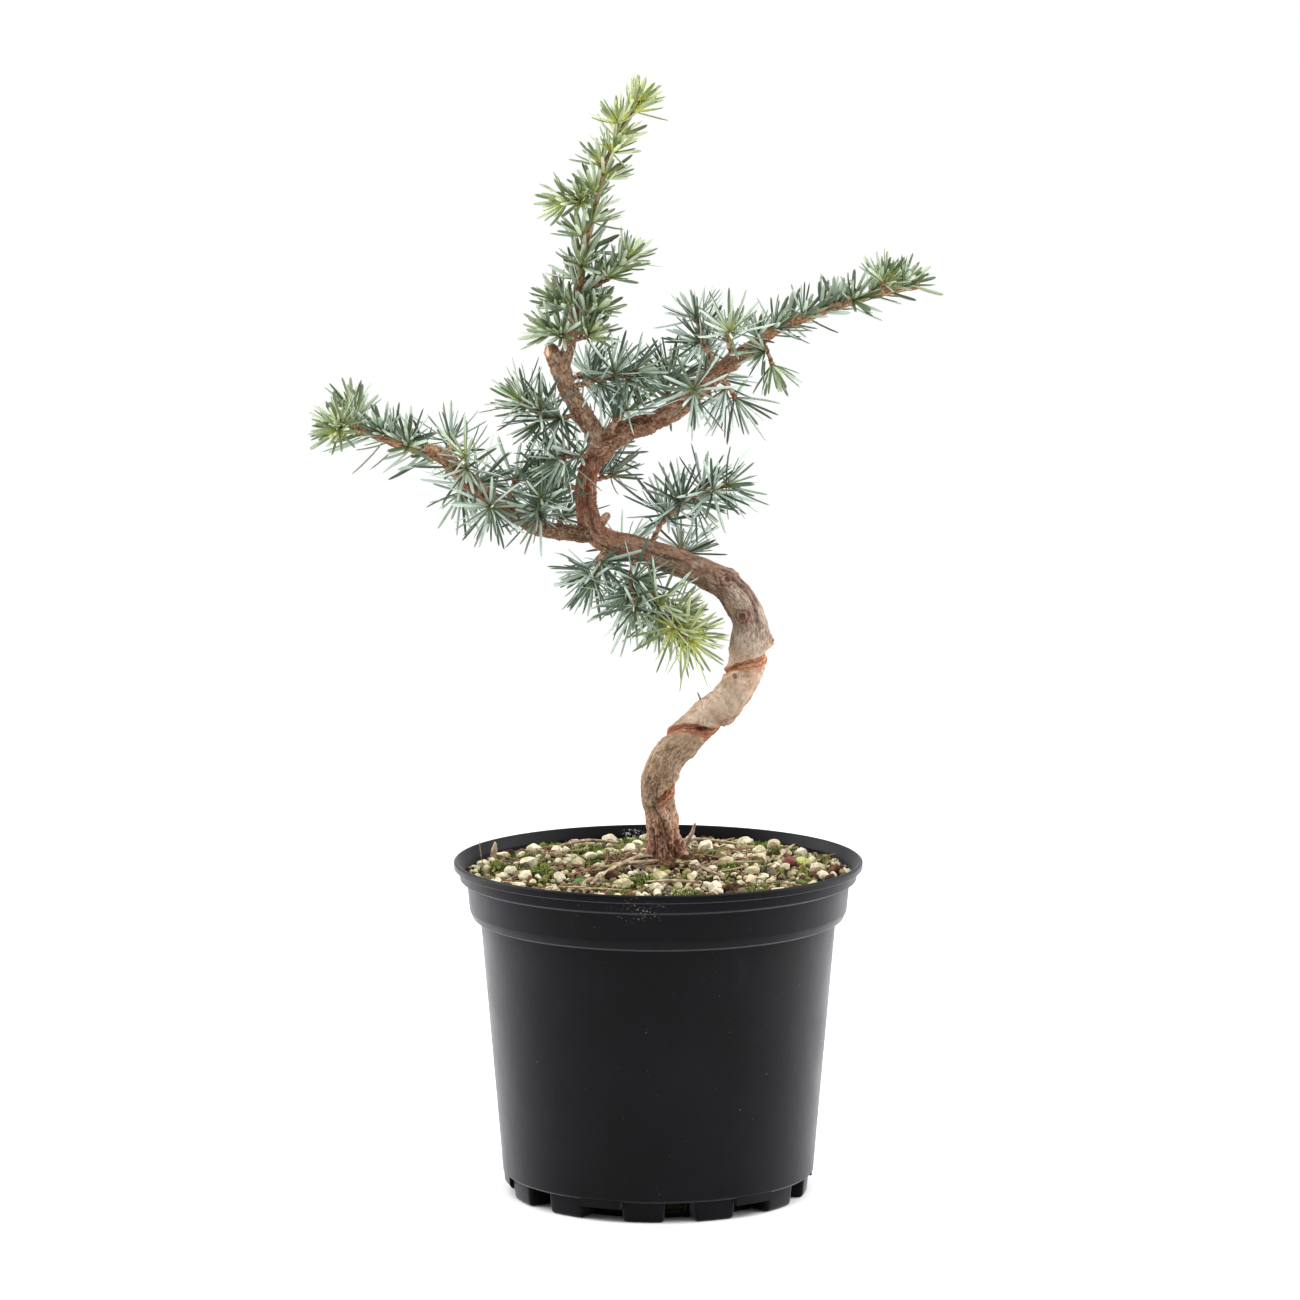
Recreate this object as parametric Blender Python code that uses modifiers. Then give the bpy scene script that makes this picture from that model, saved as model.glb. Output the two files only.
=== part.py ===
# Young bonsai blue cedar: a wired, S-bent trunk with three boughs and sprays of needles,
# standing in a black plastic nursery pot.
# Metres, +Z up. The origin is the centre of the pot's flat underside.

import math
import random

import bmesh
import bpy
import numpy as np
from mathutils import Matrix, Vector

MM = 0.001
GAP = 0.3 * MM

# Pot: radius and height of the profile's corners, in millimetres, from the rim down.
POT_OUTER = [(94.0, 157.0), (95.0, 156.2), (95.0, 153.4), (92.5, 152.7), (92.2, 148.4), (88.9, 147.0),
             (87.7, 134.0), (86.2, 130.4), (82.6, 129.0), (72.5, 10.8), (71.0, 9.6), (58.6, 9.6),
             (58.6, 0.0)]
POT_INNER = [(57.0, 2.0), (57.0, 11.4), (70.4, 11.8), (80.8, 128.6), (84.6, 132.0), (87.2, 147.2),
             (90.8, 149.2), (91.0, 152.0), (93.2, 156.6)]
POT_STEPS = 32
FOOT_PAIRS = 6
FIRST_PAIR_DEG = 8.2
FOOT_OFFSET_DEG = 14.0
FOOT_WIDTH_DEG = 16.6
FOOT_RADII = (57.8 * MM, 70.4 * MM)
FOOT_TOP = 10.4 * MM
FOOT_TAPER = 1.0 * MM
SKIRT_RADII = (70.2 * MM, 72.2 * MM)
SKIRT_BOTTOM = 6.4 * MM
SLOT_SIZE = (9.0 * MM, 6.0 * MM, 5.0 * MM)

# Soil: a mound that is highest round the trunk's foot.
SOIL_EDGE_Z = 149.6 * MM
SOIL_PEAK_Z = 153.7 * MM
FOOT_SPOT = (3.0 * MM, 12.0 * MM)
FLAT_RADIUS = 15.0 * MM
# Larger stones that stand out of the soil: x, y and radius, in millimetres.
STONES = [
    (-48.2, 42.8, 4.2), (-60.2, 13.9, 4.6), (-75.0, -32.8, 4.2), (-64.1, -42.4, 4.4),
    (-36.8, 2.9, 4.4), (-50.1, -60.3, 4.3), (-25.9, -74.0, 4.6), (22.4, 47.3, 5.2),
    (47.6, 38.3, 4.8), (47.3, 16.1, 4.8), (73.7, 2.9, 4.6), (55.0, -57.4, 4.7),
    (1.5, -29.6, 4.3), (26.5, -48.8, 4.5), (43.7, -12.4, 4.2), (-61.0, -19.2, 4.1),
    (-25.8, -27.5, 4.0), (37.5, -71.5, 4.2), (7.1, -73.9, 3.9), (-10.1, 60.0, 3.9),
    (-13.4, 34.0, 4.3), (66.6, 40.4, 4.3), (-68.0, -2.5, 3.9), (72.1, 20.1, 3.7),
    (-31.3, 19.1, 3.9), (-1.0, -49.5, 4.0), (51.2, -35.1, 3.8), (75.4, -22.0, 4.4),
    (-39.8, 71.0, 3.7), (-73.0, 37.8, 3.9), (31.1, 8.2, 4.2), (-81.7, 11.5, 3.9),
    (2.0, 41.8, 3.9), (16.9, -8.2, 4.3), (54.7, 56.6, 4.7), (15.7, 78.4, 3.7),
    (-45.0, -23.3, 4.1), (70.5, -38.8, 4.3), (41.9, 69.1, 4.5), (-6.3, 81.0, 4.2),
    (-58.4, 55.2, 4.5), (-16.5, -42.3, 4.5), (-23.6, 78.3, 4.3),
]
STONE_SIDES = 4
STONE_TOP = 0.55
STONE_RISE = 0.9
STONE_DEPTH = 1.2 * MM

# Wood: centre line and radius of each limb, in millimetres, from its root to its tip.
TRUNK = [(4, 12, 150, 10.8), (2.5, 11.5, 161, 8.2), (1.5, 11.5, 172.5, 7.5), (0, 11, 187.5, 8.1),
         (3.5, 8.5, 202, 8.1), (14.5, 5, 215.5, 8.0), (32, -1, 232, 7.9), (40, -5, 247.5, 8.4),
         (42, -7.5, 259.5, 8.8), (40.5, -8, 273, 7.8), (32, -5.5, 284.5, 7.0), (19, -1.5, 292, 6.7),
         (-4, 6, 299.5, 6.1), (-27, 10.5, 306.5, 5.8), (-33.5, 10, 321.5, 4.9), (-32, 8, 338, 4.8),
         (-25, 6, 351.5, 5.0)]
LEADER = [(-26, 7, 349, 4.6), (-35, 3.5, 364.5, 4.5), (-43, 1, 378, 4.2), (-44.5, 0, 389, 3.7),
          (-40.5, -1, 400, 2.7), (-38, -1, 410, 2.1), (-36, -2, 427, 1.9), (-33.5, -3, 445, 1.7),
          (-26.5, -2, 472, 1.4), (-17.5, 0, 495, 1.1), (-9.5, 2, 508, 0.8)]
RIGHT_BOUGH = [(-28, 6.5, 346, 4.8), (-18, 5, 355, 5.0), (-4, 2, 360, 4.8), (10, -2, 368.5, 4.4),
               (22, -5.5, 380, 4.0), (41.5, -10, 395.5, 3.4), (55, -14, 405.5, 2.3),
               (79, -18, 415, 1.8), (100, -21, 422, 1.6), (119, -23, 426.5, 1.9)]
LEFT_BOUGH = [(-28, 10, 308, 3.8), (-41, 8, 308.5, 3.4), (-53.5, 5, 311, 3.9), (-65.5, 0, 318.5, 4.2),
              (-79, -4, 326.5, 4.0), (-92, -9, 339.5, 3.9), (-101, -12, 347.5, 3.3),
              (-117.5, -15, 352, 2.3), (-132, -18, 358, 1.9), (-147, -20, 360.5, 1.3)]
LIMBS = {"trunk": TRUNK, "leader": LEADER, "right_bough": RIGHT_BOUGH, "left_bough": LEFT_BOUGH}
# The trunk is split where it turns back, and each bough ends where its shoot of needles begins.
TRUNK_SPLITS = (0.49, 0.84)
SHOOT_STARTS = {"leader": 0.33, "right_bough": 0.50, "left_bough": 0.65}
TRUNK_SIDES = 12
BOUGH_SIDES = 8
TRUNK_STEP = 7.5 * MM
BOUGH_STEP = 6.0 * MM
FLARE_HEIGHT = 12.0 * MM
FLARE_LOBES = 5
# Knots and pruned stubs: limb, place along it, direction they stand out in, radius and length (mm).
KNOTS = [("trunk", 0.58, (0.6, -0.2, 1.0), 5.0, 3.2), ("trunk", 0.455, (1.0, -0.1, 0.3), 4.5, 4.2),
         ("trunk", 0.54, (0.1, -1.0, 0.2), 4.5, 3.9), ("trunk", 0.23, (0.4, 0.9, 0.4), 4.2, 5.0)]
STUBS = [("trunk", 0.83, (1.0, -0.1, 1.3), 2.3, 11.0), ("leader", 0.235, (-0.42, 0.0, 1.0), 3.7, 10.5)]

# Needles: a spur is a small hub, and each needle is drawn out of one of its faces.
HUB_RADIUS = 3.7 * MM
NEEDLES_PER_HUB = 20
SPREAD_DEG = 112.0
APART_DEG = 16.0
SHORTER = (1.0, 0.84, 0.68)
GOLDEN_DEG = 137.5
STEM_RADIUS = 1.25 * MM
LIMB_CLEARANCE = 1.0 * MM
SPACE_MARGIN = 0.9 * MM
NEEDLE_CLEARANCE = 1.3 * MM
# Sprays that spring from a limb: name, limb, place along it, reach of the stem's tip from the
# limb's centre line (mm), number of spurs, needle length (mm), tint.
SPRAYS = [
    ("arch_right_needles", "trunk", 0.725, (35, -20, 34), 4, 21, "blue"),
    ("arch_low_needles", "trunk", 0.68, (3, 16, 4), 1, 20, "blue"),
    ("arch_back_needles", "trunk", 0.775, (-1, 21, -3), 1, 20, "blue"),
    ("hang_left_needles", "trunk", 0.80, (-7, -21, -15), 1, 21, "blue"),
    ("hang_mid_needles", "trunk", 0.745, (-2, -29, -23), 1, 22, "blue"),
    ("hang_low_needles", "trunk", 0.71, (15, -31, -35), 4, 22, "green"),
    ("top_right_needles", "trunk", 0.925, (11, 7, 1), 1, 21, "blue"),
    ("top_left_needles", "trunk", 0.905, (-18, 13, 4), 2, 20, "blue"),
    ("fork_left_needles", "trunk", 0.965, (-17, -13, 1), 2, 22, "blue"),
    ("fork_back_needles", "trunk", 0.96, (2, 23, 6), 1, 22, "blue"),
    ("leader_left_needles", "leader", 0.12, (-27, -8, 5), 3, 21, "green"),
    ("leader_right_needles", "leader", 0.19, (31, -14, 9), 3, 20.5, "blue"),
    ("leader_back_needles", "leader", 0.20, (8, 21, 4), 1, 21, "blue"),
    ("fork_right_needles", "right_bough", 0.07, (5, -15, 13), 1, 22, "blue"),
    ("right_base_needles", "right_bough", 0.24, (-2, 9, 16), 2, 22, "blue"),
    ("right_front_needles", "right_bough", 0.33, (-2, -18, 2), 1, 22, "blue"),
    ("right_back_needles", "right_bough", 0.35, (2, 21, 5), 1, 21, "blue"),
    ("right_down_needles", "right_bough", 0.40, (8, 7, -12), 1, 22, "blue"),
    ("right_left_needles", "right_bough", 0.41, (-11, 3, 24), 2, 19, "blue"),
    ("right_up_needles", "right_bough", 0.47, (-4, -12, 13), 1, 20, "green"),
    ("left_root_needles", "left_bough", 0.12, (-4, 15, 9), 1, 20, "blue"),
    ("left_base_needles", "left_bough", 0.24, (5, -13, 13), 2, 21, "blue"),
    ("left_mid_needles", "left_bough", 0.34, (4, 9, 12), 1, 21, "blue"),
    ("left_front_needles", "left_bough", 0.40, (0, -16, -1), 1, 20, "blue"),
    ("left_back_needles", "left_bough", 0.46, (0, 19, 1), 1, 21, "blue"),
    ("left_down_needles", "left_bough", 0.50, (-4, 11, -6), 1, 20, "blue"),
    ("left_up_needles", "left_bough", 0.55, (3, -10, 8), 1, 20, "green"),
    ("left_rise_needles", "left_bough", 0.61, (1, 7, 8), 1, 20, "blue"),
]
# Shoots that carry a bough on to its tip: name, bough, number of spurs, needle length (mm), tint.
SHOOTS = [
    ("leader_tip_needles", "leader", 8, 20, "new"),
    ("right_tip_needles", "right_bough", 6, 18, "green"),
    ("left_tip_needles", "left_bough", 4, 19, "new"),
]
# Side twigs of the shoots: shoot, place along it, reach (mm), number of spurs.
SIDE_TWIGS = [("leader_tip_needles", 0.07, (10, -4, 5), 1), ("leader_tip_needles", 0.10, (-7, 6, 6), 1),
              ("leader_tip_needles", 0.21, (22, -5, 13), 2), ("leader_tip_needles", 0.55, (-12, -5, 2), 1),
              ("right_tip_needles", 0.10, (5, -4, -11), 1), ("left_tip_needles", 0.8, (-3, 8, 9), 1)]
NEW_TIP_SHARE = 0.85

BLACK_PLASTIC = ((0.016, 0.015, 0.018), 0.42)
SOIL_COLOUR = ((0.25, 0.20, 0.11), 0.95)
OLD_BARK = ((0.30, 0.20, 0.13), 0.85)
YOUNG_BARK = ((0.22, 0.12, 0.075), 0.85)
NEEDLE_TINTS = {"blue": ((0.165, 0.215, 0.165), 0.55), "green": ((0.185, 0.235, 0.14), 0.55),
                "new": ((0.30, 0.37, 0.16), 0.55)}


def clear_scene():
    for item in list(bpy.data.objects):
        bpy.data.objects.remove(item)


def new_collection(name):
    group = bpy.data.collections.new(name)
    bpy.context.scene.collection.children.link(group)
    return group


def make_material(name, look):
    colour, roughness = look
    material = bpy.data.materials.new(name)
    material.use_nodes = True
    shader = material.node_tree.nodes["Principled BSDF"]
    shader.inputs["Base Color"].default_value = (*colour, 1.0)
    shader.inputs["Roughness"].default_value = roughness
    shader.inputs["Metallic"].default_value = 0.0
    return material


def add_object(name, mesh, group):
    item = bpy.data.objects.new(name, mesh)
    group.objects.link(item)
    return item


def object_from_bmesh(name, bm, group):
    bmesh.ops.recalc_face_normals(bm, faces=bm.faces)
    mesh = bpy.data.meshes.new(name)
    bm.to_mesh(mesh)
    bm.free()
    return add_object(name, mesh, group)


def evaluated_mesh(item):
    graph = bpy.context.evaluated_depsgraph_get()
    return bpy.data.meshes.new_from_object(item.evaluated_get(graph))


# ---- wood ----

def smooth_path(waypoints, step):
    """Points and radii every step along the smooth line through the waypoints."""
    points = [np.array(p, float) * MM for p in waypoints]
    points = [2 * points[0] - points[1], *points, 2 * points[-1] - points[-2]]
    fine = []
    for a, b, c, d in zip(points, points[1:], points[2:], points[3:]):
        for t in np.linspace(0.0, 1.0, 12, endpoint=False):
            fine.append(0.5 * (2 * b + (c - a) * t + (2 * a - 5 * b + 4 * c - d) * t ** 2
                               + (3 * b - a - 3 * c + d) * t ** 3))
    fine.append(points[-2])
    fine = np.array(fine)
    travelled = np.concatenate([[0.0], np.cumsum(np.linalg.norm(np.diff(fine[:, :3], axis=0), axis=1))])
    count = max(2, round(travelled[-1] / step)) + 1
    places = np.linspace(0.0, travelled[-1], count)
    return np.stack([np.interp(places, travelled, fine[:, k]) for k in range(4)], axis=1)


def place_on(path, along):
    """Centre, radius and direction of a path at a share of its length."""
    places = np.linspace(0.0, 1.0, len(path))
    here = np.array([np.interp(along, places, path[:, k]) for k in range(4)])
    low = np.array([np.interp(along - 0.01, places, path[:, k]) for k in range(3)])
    high = np.array([np.interp(along + 0.01, places, path[:, k]) for k in range(3)])
    return Vector(here[:3]), here[3], Vector(high - low).normalized()


def stretch(path, start, end, density=1.0):
    """The part of a path between two shares of its length, evenly spaced."""
    places = np.linspace(0.0, 1.0, len(path))
    count = max(2, round((end - start) * (len(path) - 1) * density) + 1)
    wanted = np.linspace(start, end, count)
    return np.stack([np.interp(wanted, places, path[:, k]) for k in range(4)], axis=1)


def grown(path, extra):
    """The same limb, thicker by extra all round and longer by extra at both ends."""
    fat = path.copy()
    first = path[0, :3] - path[1, :3]
    last = path[-1, :3] - path[-2, :3]
    fat[0, :3] += first / np.linalg.norm(first) * extra
    fat[-1, :3] += last / np.linalg.norm(last) * extra
    fat[:, 3] += extra
    return fat


def tube(name, path, sides, group):
    """A closed tapering tube with flat ends along a path."""
    curve = bpy.data.curves.new(name, "CURVE")
    curve.dimensions = "3D"
    curve.bevel_depth = 1.0
    curve.bevel_resolution = (sides - 4) // 2
    curve.use_fill_caps = True
    line = curve.splines.new("POLY")
    line.points.add(len(path) - 1)
    for point, (x, y, z, radius) in zip(line.points, path):
        point.co = (x, y, z, 1.0)
        point.radius = radius
    guide = add_object(name, curve, group)
    mesh = evaluated_mesh(guide)
    bpy.data.objects.remove(guide)
    bm = bmesh.new()
    bm.from_mesh(mesh)
    bmesh.ops.remove_doubles(bm, verts=bm.verts, dist=0.001 * MM)
    bpy.data.meshes.remove(mesh)
    return object_from_bmesh(name, bm, group)


def largest_body(mesh):
    """Drops loose scraps and sealed hollows, so that one body is left."""
    bm = bmesh.new()
    bm.from_mesh(mesh)
    unseen = set(bm.verts)
    bodies = []
    while unseen:
        body = [unseen.pop()]
        for vert in body:
            for edge in vert.link_edges:
                other = edge.other_vert(vert)
                if other in unseen:
                    unseen.remove(other)
                    body.append(other)
        bodies.append(body)
    bodies.sort(key=len)
    for body in bodies[:-1]:
        bmesh.ops.delete(bm, geom=body, context="VERTS")
    bmesh.ops.dissolve_degenerate(bm, edges=bm.edges, dist=0.0005 * MM)
    bm.to_mesh(mesh)
    bm.free()


def is_closed(mesh):
    bm = bmesh.new()
    bm.from_mesh(mesh)
    closed = bool(bm.edges) and all(edge.is_manifold for edge in bm.edges) and bm.calc_volume(signed=True) > 0
    bm.free()
    return closed


def combine(item, pieces, operation):
    """One Boolean of a collection's pieces on an object. The pieces are removed afterwards."""
    for solver in ("EXACT", "MANIFOLD"):
        modifier = item.modifiers.new("combine", "BOOLEAN")
        modifier.operation = operation
        modifier.operand_type = "COLLECTION"
        modifier.collection = pieces
        modifier.solver = solver
        result = evaluated_mesh(item)
        item.modifiers.remove(modifier)
        largest_body(result)
        if is_closed(result):
            break
    result.name = item.name
    old = item.data
    item.data = result
    bpy.data.meshes.remove(old)
    for piece in list(pieces.objects):
        bpy.data.objects.remove(piece)
    bpy.data.collections.remove(pieces)


def work_group(name):
    """A collection for cutters and for pieces that are still to be joined."""
    group = bpy.data.collections.new(name)
    bpy.data.collections["work"].children.link(group)
    return group


def hide_work(group):
    for item in group.objects:
        item.hide_render = True
        item.display_type = "WIRE"


def add_bumps(item, limb, paths):
    """Joins a limb's knots and pruned stubs onto it."""
    pieces = work_group(item.name + "_bumps")
    for owner, along, toward, radius, length in KNOTS:
        if owner == limb:
            centre = place_on(paths[owner], along)[0]
            bm = bmesh.new()
            middle = centre + Vector(toward).normalized() * length * MM
            bmesh.ops.create_icosphere(bm, subdivisions=2, radius=radius * MM,
                                       matrix=Matrix.Translation(middle))
            object_from_bmesh(item.name + "_knot", bm, pieces)
    for owner, along, toward, radius, length in STUBS:
        if owner == limb:
            centre = place_on(paths[owner], along)[0]
            tip = centre + Vector(toward).normalized() * length * MM
            ends = [(*centre, radius * MM * 1.1), (*tip, radius * MM)]
            tube(item.name + "_stub", np.array(ends), BOUGH_SIDES, pieces)
    if pieces.objects:
        hide_work(pieces)
        combine(item, pieces, "UNION")
    else:
        bpy.data.collections.remove(pieces)


def flare_root(item, path):
    """Swells the trunk's foot into a few roots that run out over the soil."""
    foot = path[0, 2]
    for vert in item.data.vertices:
        rise = (vert.co.z - foot) / FLARE_HEIGHT
        if rise < 1.0:
            across = vert.co.x - path[0, 0]
            back = vert.co.y - path[0, 1]
            lobe = math.cos(FLARE_LOBES * math.atan2(back, across))
            swell = 1.0 + 0.10 * lobe * (1.0 - max(rise, 0.0)) ** 2
            vert.co.x = path[0, 0] + across * swell
            vert.co.y = path[0, 1] + back * swell


def cut_flat(bm, point, outward):
    """Cuts a solid off flat at a point and closes the cut."""
    bmesh.ops.bisect_plane(bm, geom=[*bm.verts, *bm.edges, *bm.faces], dist=1e-7,
                           plane_co=point, plane_no=outward, clear_outer=True)
    rim = [edge for edge in bm.edges if edge.is_boundary]
    bmesh.ops.holes_fill(bm, edges=rim, sides=0)


def slice_between(name, source, path, start, end, group):
    """The part of the trunk between two cuts square to it, half a gap short at each."""
    bm = bmesh.new()
    bm.from_mesh(source.data)
    for along, side in ((start, -1.0), (end, 1.0)):
        centre, _, heading = place_on(path, along)
        if along == 0.0:
            cut_flat(bm, (0.0, 0.0, SOIL_PEAK_Z + GAP), (0.0, 0.0, -1.0))
        elif along < 1.0:
            cut_flat(bm, centre - heading * side * GAP / 2, heading * side)
    return object_from_bmesh(name, bm, group)


def make_trunk(paths, group):
    whole = tube("trunk_whole", paths["trunk"], TRUNK_SIDES, group)
    flare_root(whole, paths["trunk"])
    add_bumps(whole, "trunk", paths)
    first, second = TRUNK_SPLITS
    sections = [("trunk_base", 0.0, first), ("trunk_bend", first, second), ("trunk_top", second, 1.0)]
    made = [slice_between(name, whole, paths["trunk"], start, end, group) for name, start, end in sections]
    bpy.data.objects.remove(whole)
    return made


def make_bough(name, paths, cleared, group):
    """A bough from the wood that carries it to the start of its shoot."""
    path = stretch(paths[name], 0.0, SHOOT_STARTS[name])
    bough = tube(name, path, BOUGH_SIDES, group)
    add_bumps(bough, name, paths)
    cutters = work_group(name + "_seat")
    for limb in cleared:
        end = SHOOT_STARTS.get(limb, 1.0)
        sides = TRUNK_SIDES if limb == "trunk" else BOUGH_SIDES
        tube(limb + "_cutter", grown(stretch(paths[limb], 0.0, end), GAP), sides, cutters)
    hide_work(cutters)
    combine(bough, cutters, "DIFFERENCE")
    return bough


# ---- needles ----

def bent_line(root, leave, tip, count):
    """Points of a twig that leaves square to its limb and bends over to its tip."""
    knee = root + leave * (tip - root).length * 0.45
    points = []
    for k in range(count + 1):
        t = k / count
        points.append(root * (1 - t) ** 2 + knee * 2 * t * (1 - t) + tip * t ** 2)
    return points


def point_at(points, share):
    place = share * (len(points) - 1)
    index = min(int(place), len(points) - 2)
    return points[index].lerp(points[index + 1], place - index)


def around(axis, angle):
    """A direction square to the axis, turned about it by the angle."""
    side = axis.orthogonal().normalized()
    return Matrix.Rotation(angle, 3, axis) @ side


def plan_hubs(points, spurs, length, first, rng):
    """Places the spurs along a stem by the golden angle, with the last one on its tip."""
    hubs = []
    for k in range(spurs):
        share = first + (1.0 - first) * (k + 1) / spurs
        centre = point_at(points, share)
        ahead = (point_at(points, min(1.0, share + 0.05)) - point_at(points, share - 0.05)).normalized()
        size = length * rng.uniform(0.95, 1.05)
        if k < spurs - 1:
            out = around(ahead, math.radians(GOLDEN_DEG * k + 40.0))
            hubs.append((centre + out * 2.0 * MM, (out + ahead * 0.5).normalized(), size))
        else:
            hubs.append((centre, ahead, size * (NEW_TIP_SHARE if spurs > 2 else 1.0)))
    return hubs


def twig(centre, radius, heading, reach):
    """Points of a twig from the surface of the wood that carries it."""
    leave = (reach - heading * reach.dot(heading)).normalized()
    return bent_line(centre + leave * (radius + GAP), leave, centre + reach, 3)


def plan_spray(row, paths):
    name, limb, along, reach, spurs, length, tint = row
    rng = random.Random(name)
    points = twig(*place_on(paths[limb], along), Vector(reach) * MM)
    hubs = plan_hubs(points, spurs, length * MM, 0.25 if spurs > 1 else 0.0, rng)
    radii = [STEM_RADIUS * (1.0 - 0.3 * k / len(points)) for k in range(len(points))]
    return {"name": name, "tint": tint, "stems": [(points, radii)], "hubs": hubs}


def plan_shoot(row, paths):
    name, limb, spurs, length, tint = row
    rng = random.Random(name)
    line = stretch(paths[limb], SHOOT_STARTS[limb], 1.0)
    line = stretch(line, 0.0, 1.0, 0.5)
    bough = stretch(paths[limb], 0.0, SHOOT_STARTS[limb])
    ahead = Vector(bough[-1, :3] - bough[-2, :3]).normalized()
    cut = Vector(bough[-1, :3])
    points = [cut + ahead * GAP, cut + ahead * (GAP + 1.5 * MM), *[Vector(p[:3]) for p in line[1:]]]
    radii = [line[0, 3], *line[:, 3]]
    stems = [(points, radii)]
    hubs = plan_hubs(points, spurs, length * MM, 0.0, rng)
    for owner, along, reach, side_spurs in SIDE_TWIGS:
        if owner == name:
            centre, radius, heading = place_on(line, along)
            side = twig(centre, 0.0, heading, Vector(reach) * MM)
            stems.append((side, [STEM_RADIUS] * len(side)))
            hubs += plan_hubs(side, side_spurs, length * MM, 0.3 if side_spurs > 1 else 0.0, rng)
    return {"name": name, "tint": tint, "stems": stems, "hubs": hubs}


def site_points(plan):
    """Points that stand for a spray when space is shared out among the sprays."""
    stems = [point_at(points, k / 8) for points, _ in plan["stems"] for k in range(9)]
    return np.array([*stems, *[hub[0] for hub in plan["hubs"]]])


def segment_gap(start, end, starts, ends):
    """Least distance between one straight needle and each of many others."""
    one = end - start
    many = ends - starts
    between = start - starts
    a = one @ one
    e = (many * many).sum(axis=1)
    b = many @ one
    c = between @ one
    f = (many * between).sum(axis=1)
    base = np.maximum(a * e - b * b, 1e-18)
    s = np.clip((b * f - c * e) / base, 0.0, 1.0)
    t = np.clip((b * s + f) / e, 0.0, 1.0)
    s = np.clip((b * t - c) / a, 0.0, 1.0)
    apart = between + s[:, None] * one - t[:, None] * many
    return np.linalg.norm(apart, axis=1)


class Crown:
    """Keeps every needle in its own spray's space, and clear of the wood and of other needles."""

    def __init__(self, plans, wood):
        self.sites = {plan["name"]: site_points(plan) for plan in plans}
        self.wood = wood
        stems = [(a, b, max(pair)) for plan in plans for points, radii in plan["stems"]
                 for a, b, pair in zip(points, points[1:], zip(radii, radii[1:]))]
        up = Vector((0.0, 0.0, 0.01 * MM))
        stems += [(hub[0], hub[0] + up, HUB_RADIUS * 0.5) for plan in plans for hub in plan["hubs"]]
        self.starts = np.array([stem[0] for stem in stems])
        self.ends = np.array([stem[1] for stem in stems])
        self.thick = np.array([stem[2] for stem in stems])

    def fits(self, name, root, tip):
        own = self.sites[name]
        others = np.concatenate([points for other, points in self.sites.items() if other != name])
        line = np.array([root.lerp(tip, share) for share in (0.35, 0.55, 0.75, 0.9, 1.0)])
        mine = np.linalg.norm(line[:, None] - own[None], axis=2).min(axis=1)
        theirs = np.linalg.norm(line[:, None] - others[None], axis=2).min(axis=1)
        bark = np.linalg.norm(line[:, None] - self.wood[None, :, :3], axis=2) - self.wood[None, :, 3]
        if (mine + SPACE_MARGIN > theirs).any() or (bark < LIMB_CLEARANCE).any():
            return False
        start = np.array(root.lerp(tip, 0.25))
        gaps = segment_gap(start, np.array(tip), self.starts, self.ends) - self.thick
        return bool((gaps > NEEDLE_CLEARANCE).all())

    def keep(self, needles):
        self.starts = np.concatenate([self.starts, [root.lerp(tip, 0.15) for root, tip in needles]])
        self.ends = np.concatenate([self.ends, [tip for _, tip in needles]])
        self.thick = np.concatenate([self.thick, np.zeros(len(needles))])


def make_hub(name, owner, hub, crown, rng, group):
    """One spur: a small ball with needles drawn out of some of its faces."""
    centre, facing, length = hub
    bm = bmesh.new()
    spin = facing.to_track_quat("Z", "Y").to_matrix().to_4x4() @ Matrix.Rotation(rng.uniform(0, 6.28), 4, "Z")
    bmesh.ops.create_icosphere(bm, subdivisions=2, radius=HUB_RADIUS,
                               matrix=Matrix.Translation(centre) @ spin)
    faces = list(bm.faces)
    rng.shuffle(faces)
    needles = []
    for face in faces:
        outward = (face.calc_center_median() - centre).normalized()
        if len(needles) == NEEDLES_PER_HUB or math.degrees(outward.angle(facing)) > SPREAD_DEG:
            continue
        if any(math.degrees((tip - root).angle(outward)) < APART_DEG for root, tip in needles):
            continue
        sway = Vector((rng.gauss(0, 0.05), rng.gauss(0, 0.05), rng.gauss(0, 0.05)))
        reach = (outward + sway + facing * 0.1).normalized() * length * rng.uniform(0.87, 1.06)
        tips = [centre + reach * share for share in SHORTER]
        tip = next((end for end in tips if crown.fits(owner, centre, end)), None)
        if tip is None:
            continue
        point = bmesh.ops.poke(bm, faces=[face])["verts"][0]
        point.co = tip
        needles.append((centre, tip))
    if needles:
        crown.keep(needles)
    return object_from_bmesh(name, bm, group)


def make_needles(plan, crown, group):
    rng = random.Random(plan["name"] + "_needles")
    stems = [np.array([(*p, r) for p, r in zip(points, radii)]) for points, radii in plan["stems"]]
    stem = tube(plan["name"], stems[0], 4, group)
    pieces = work_group(plan["name"] + "_spurs")
    for k, side in enumerate(stems[1:]):
        tube(f"{plan['name']}_twig_{k}", side, 4, pieces)
    for k, hub in enumerate(plan["hubs"]):
        make_hub(f"{plan['name']}_{k}", plan["name"], hub, crown, rng, pieces)
    hide_work(pieces)
    combine(stem, pieces, "UNION")
    return stem


# ---- pot and soil ----

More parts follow.
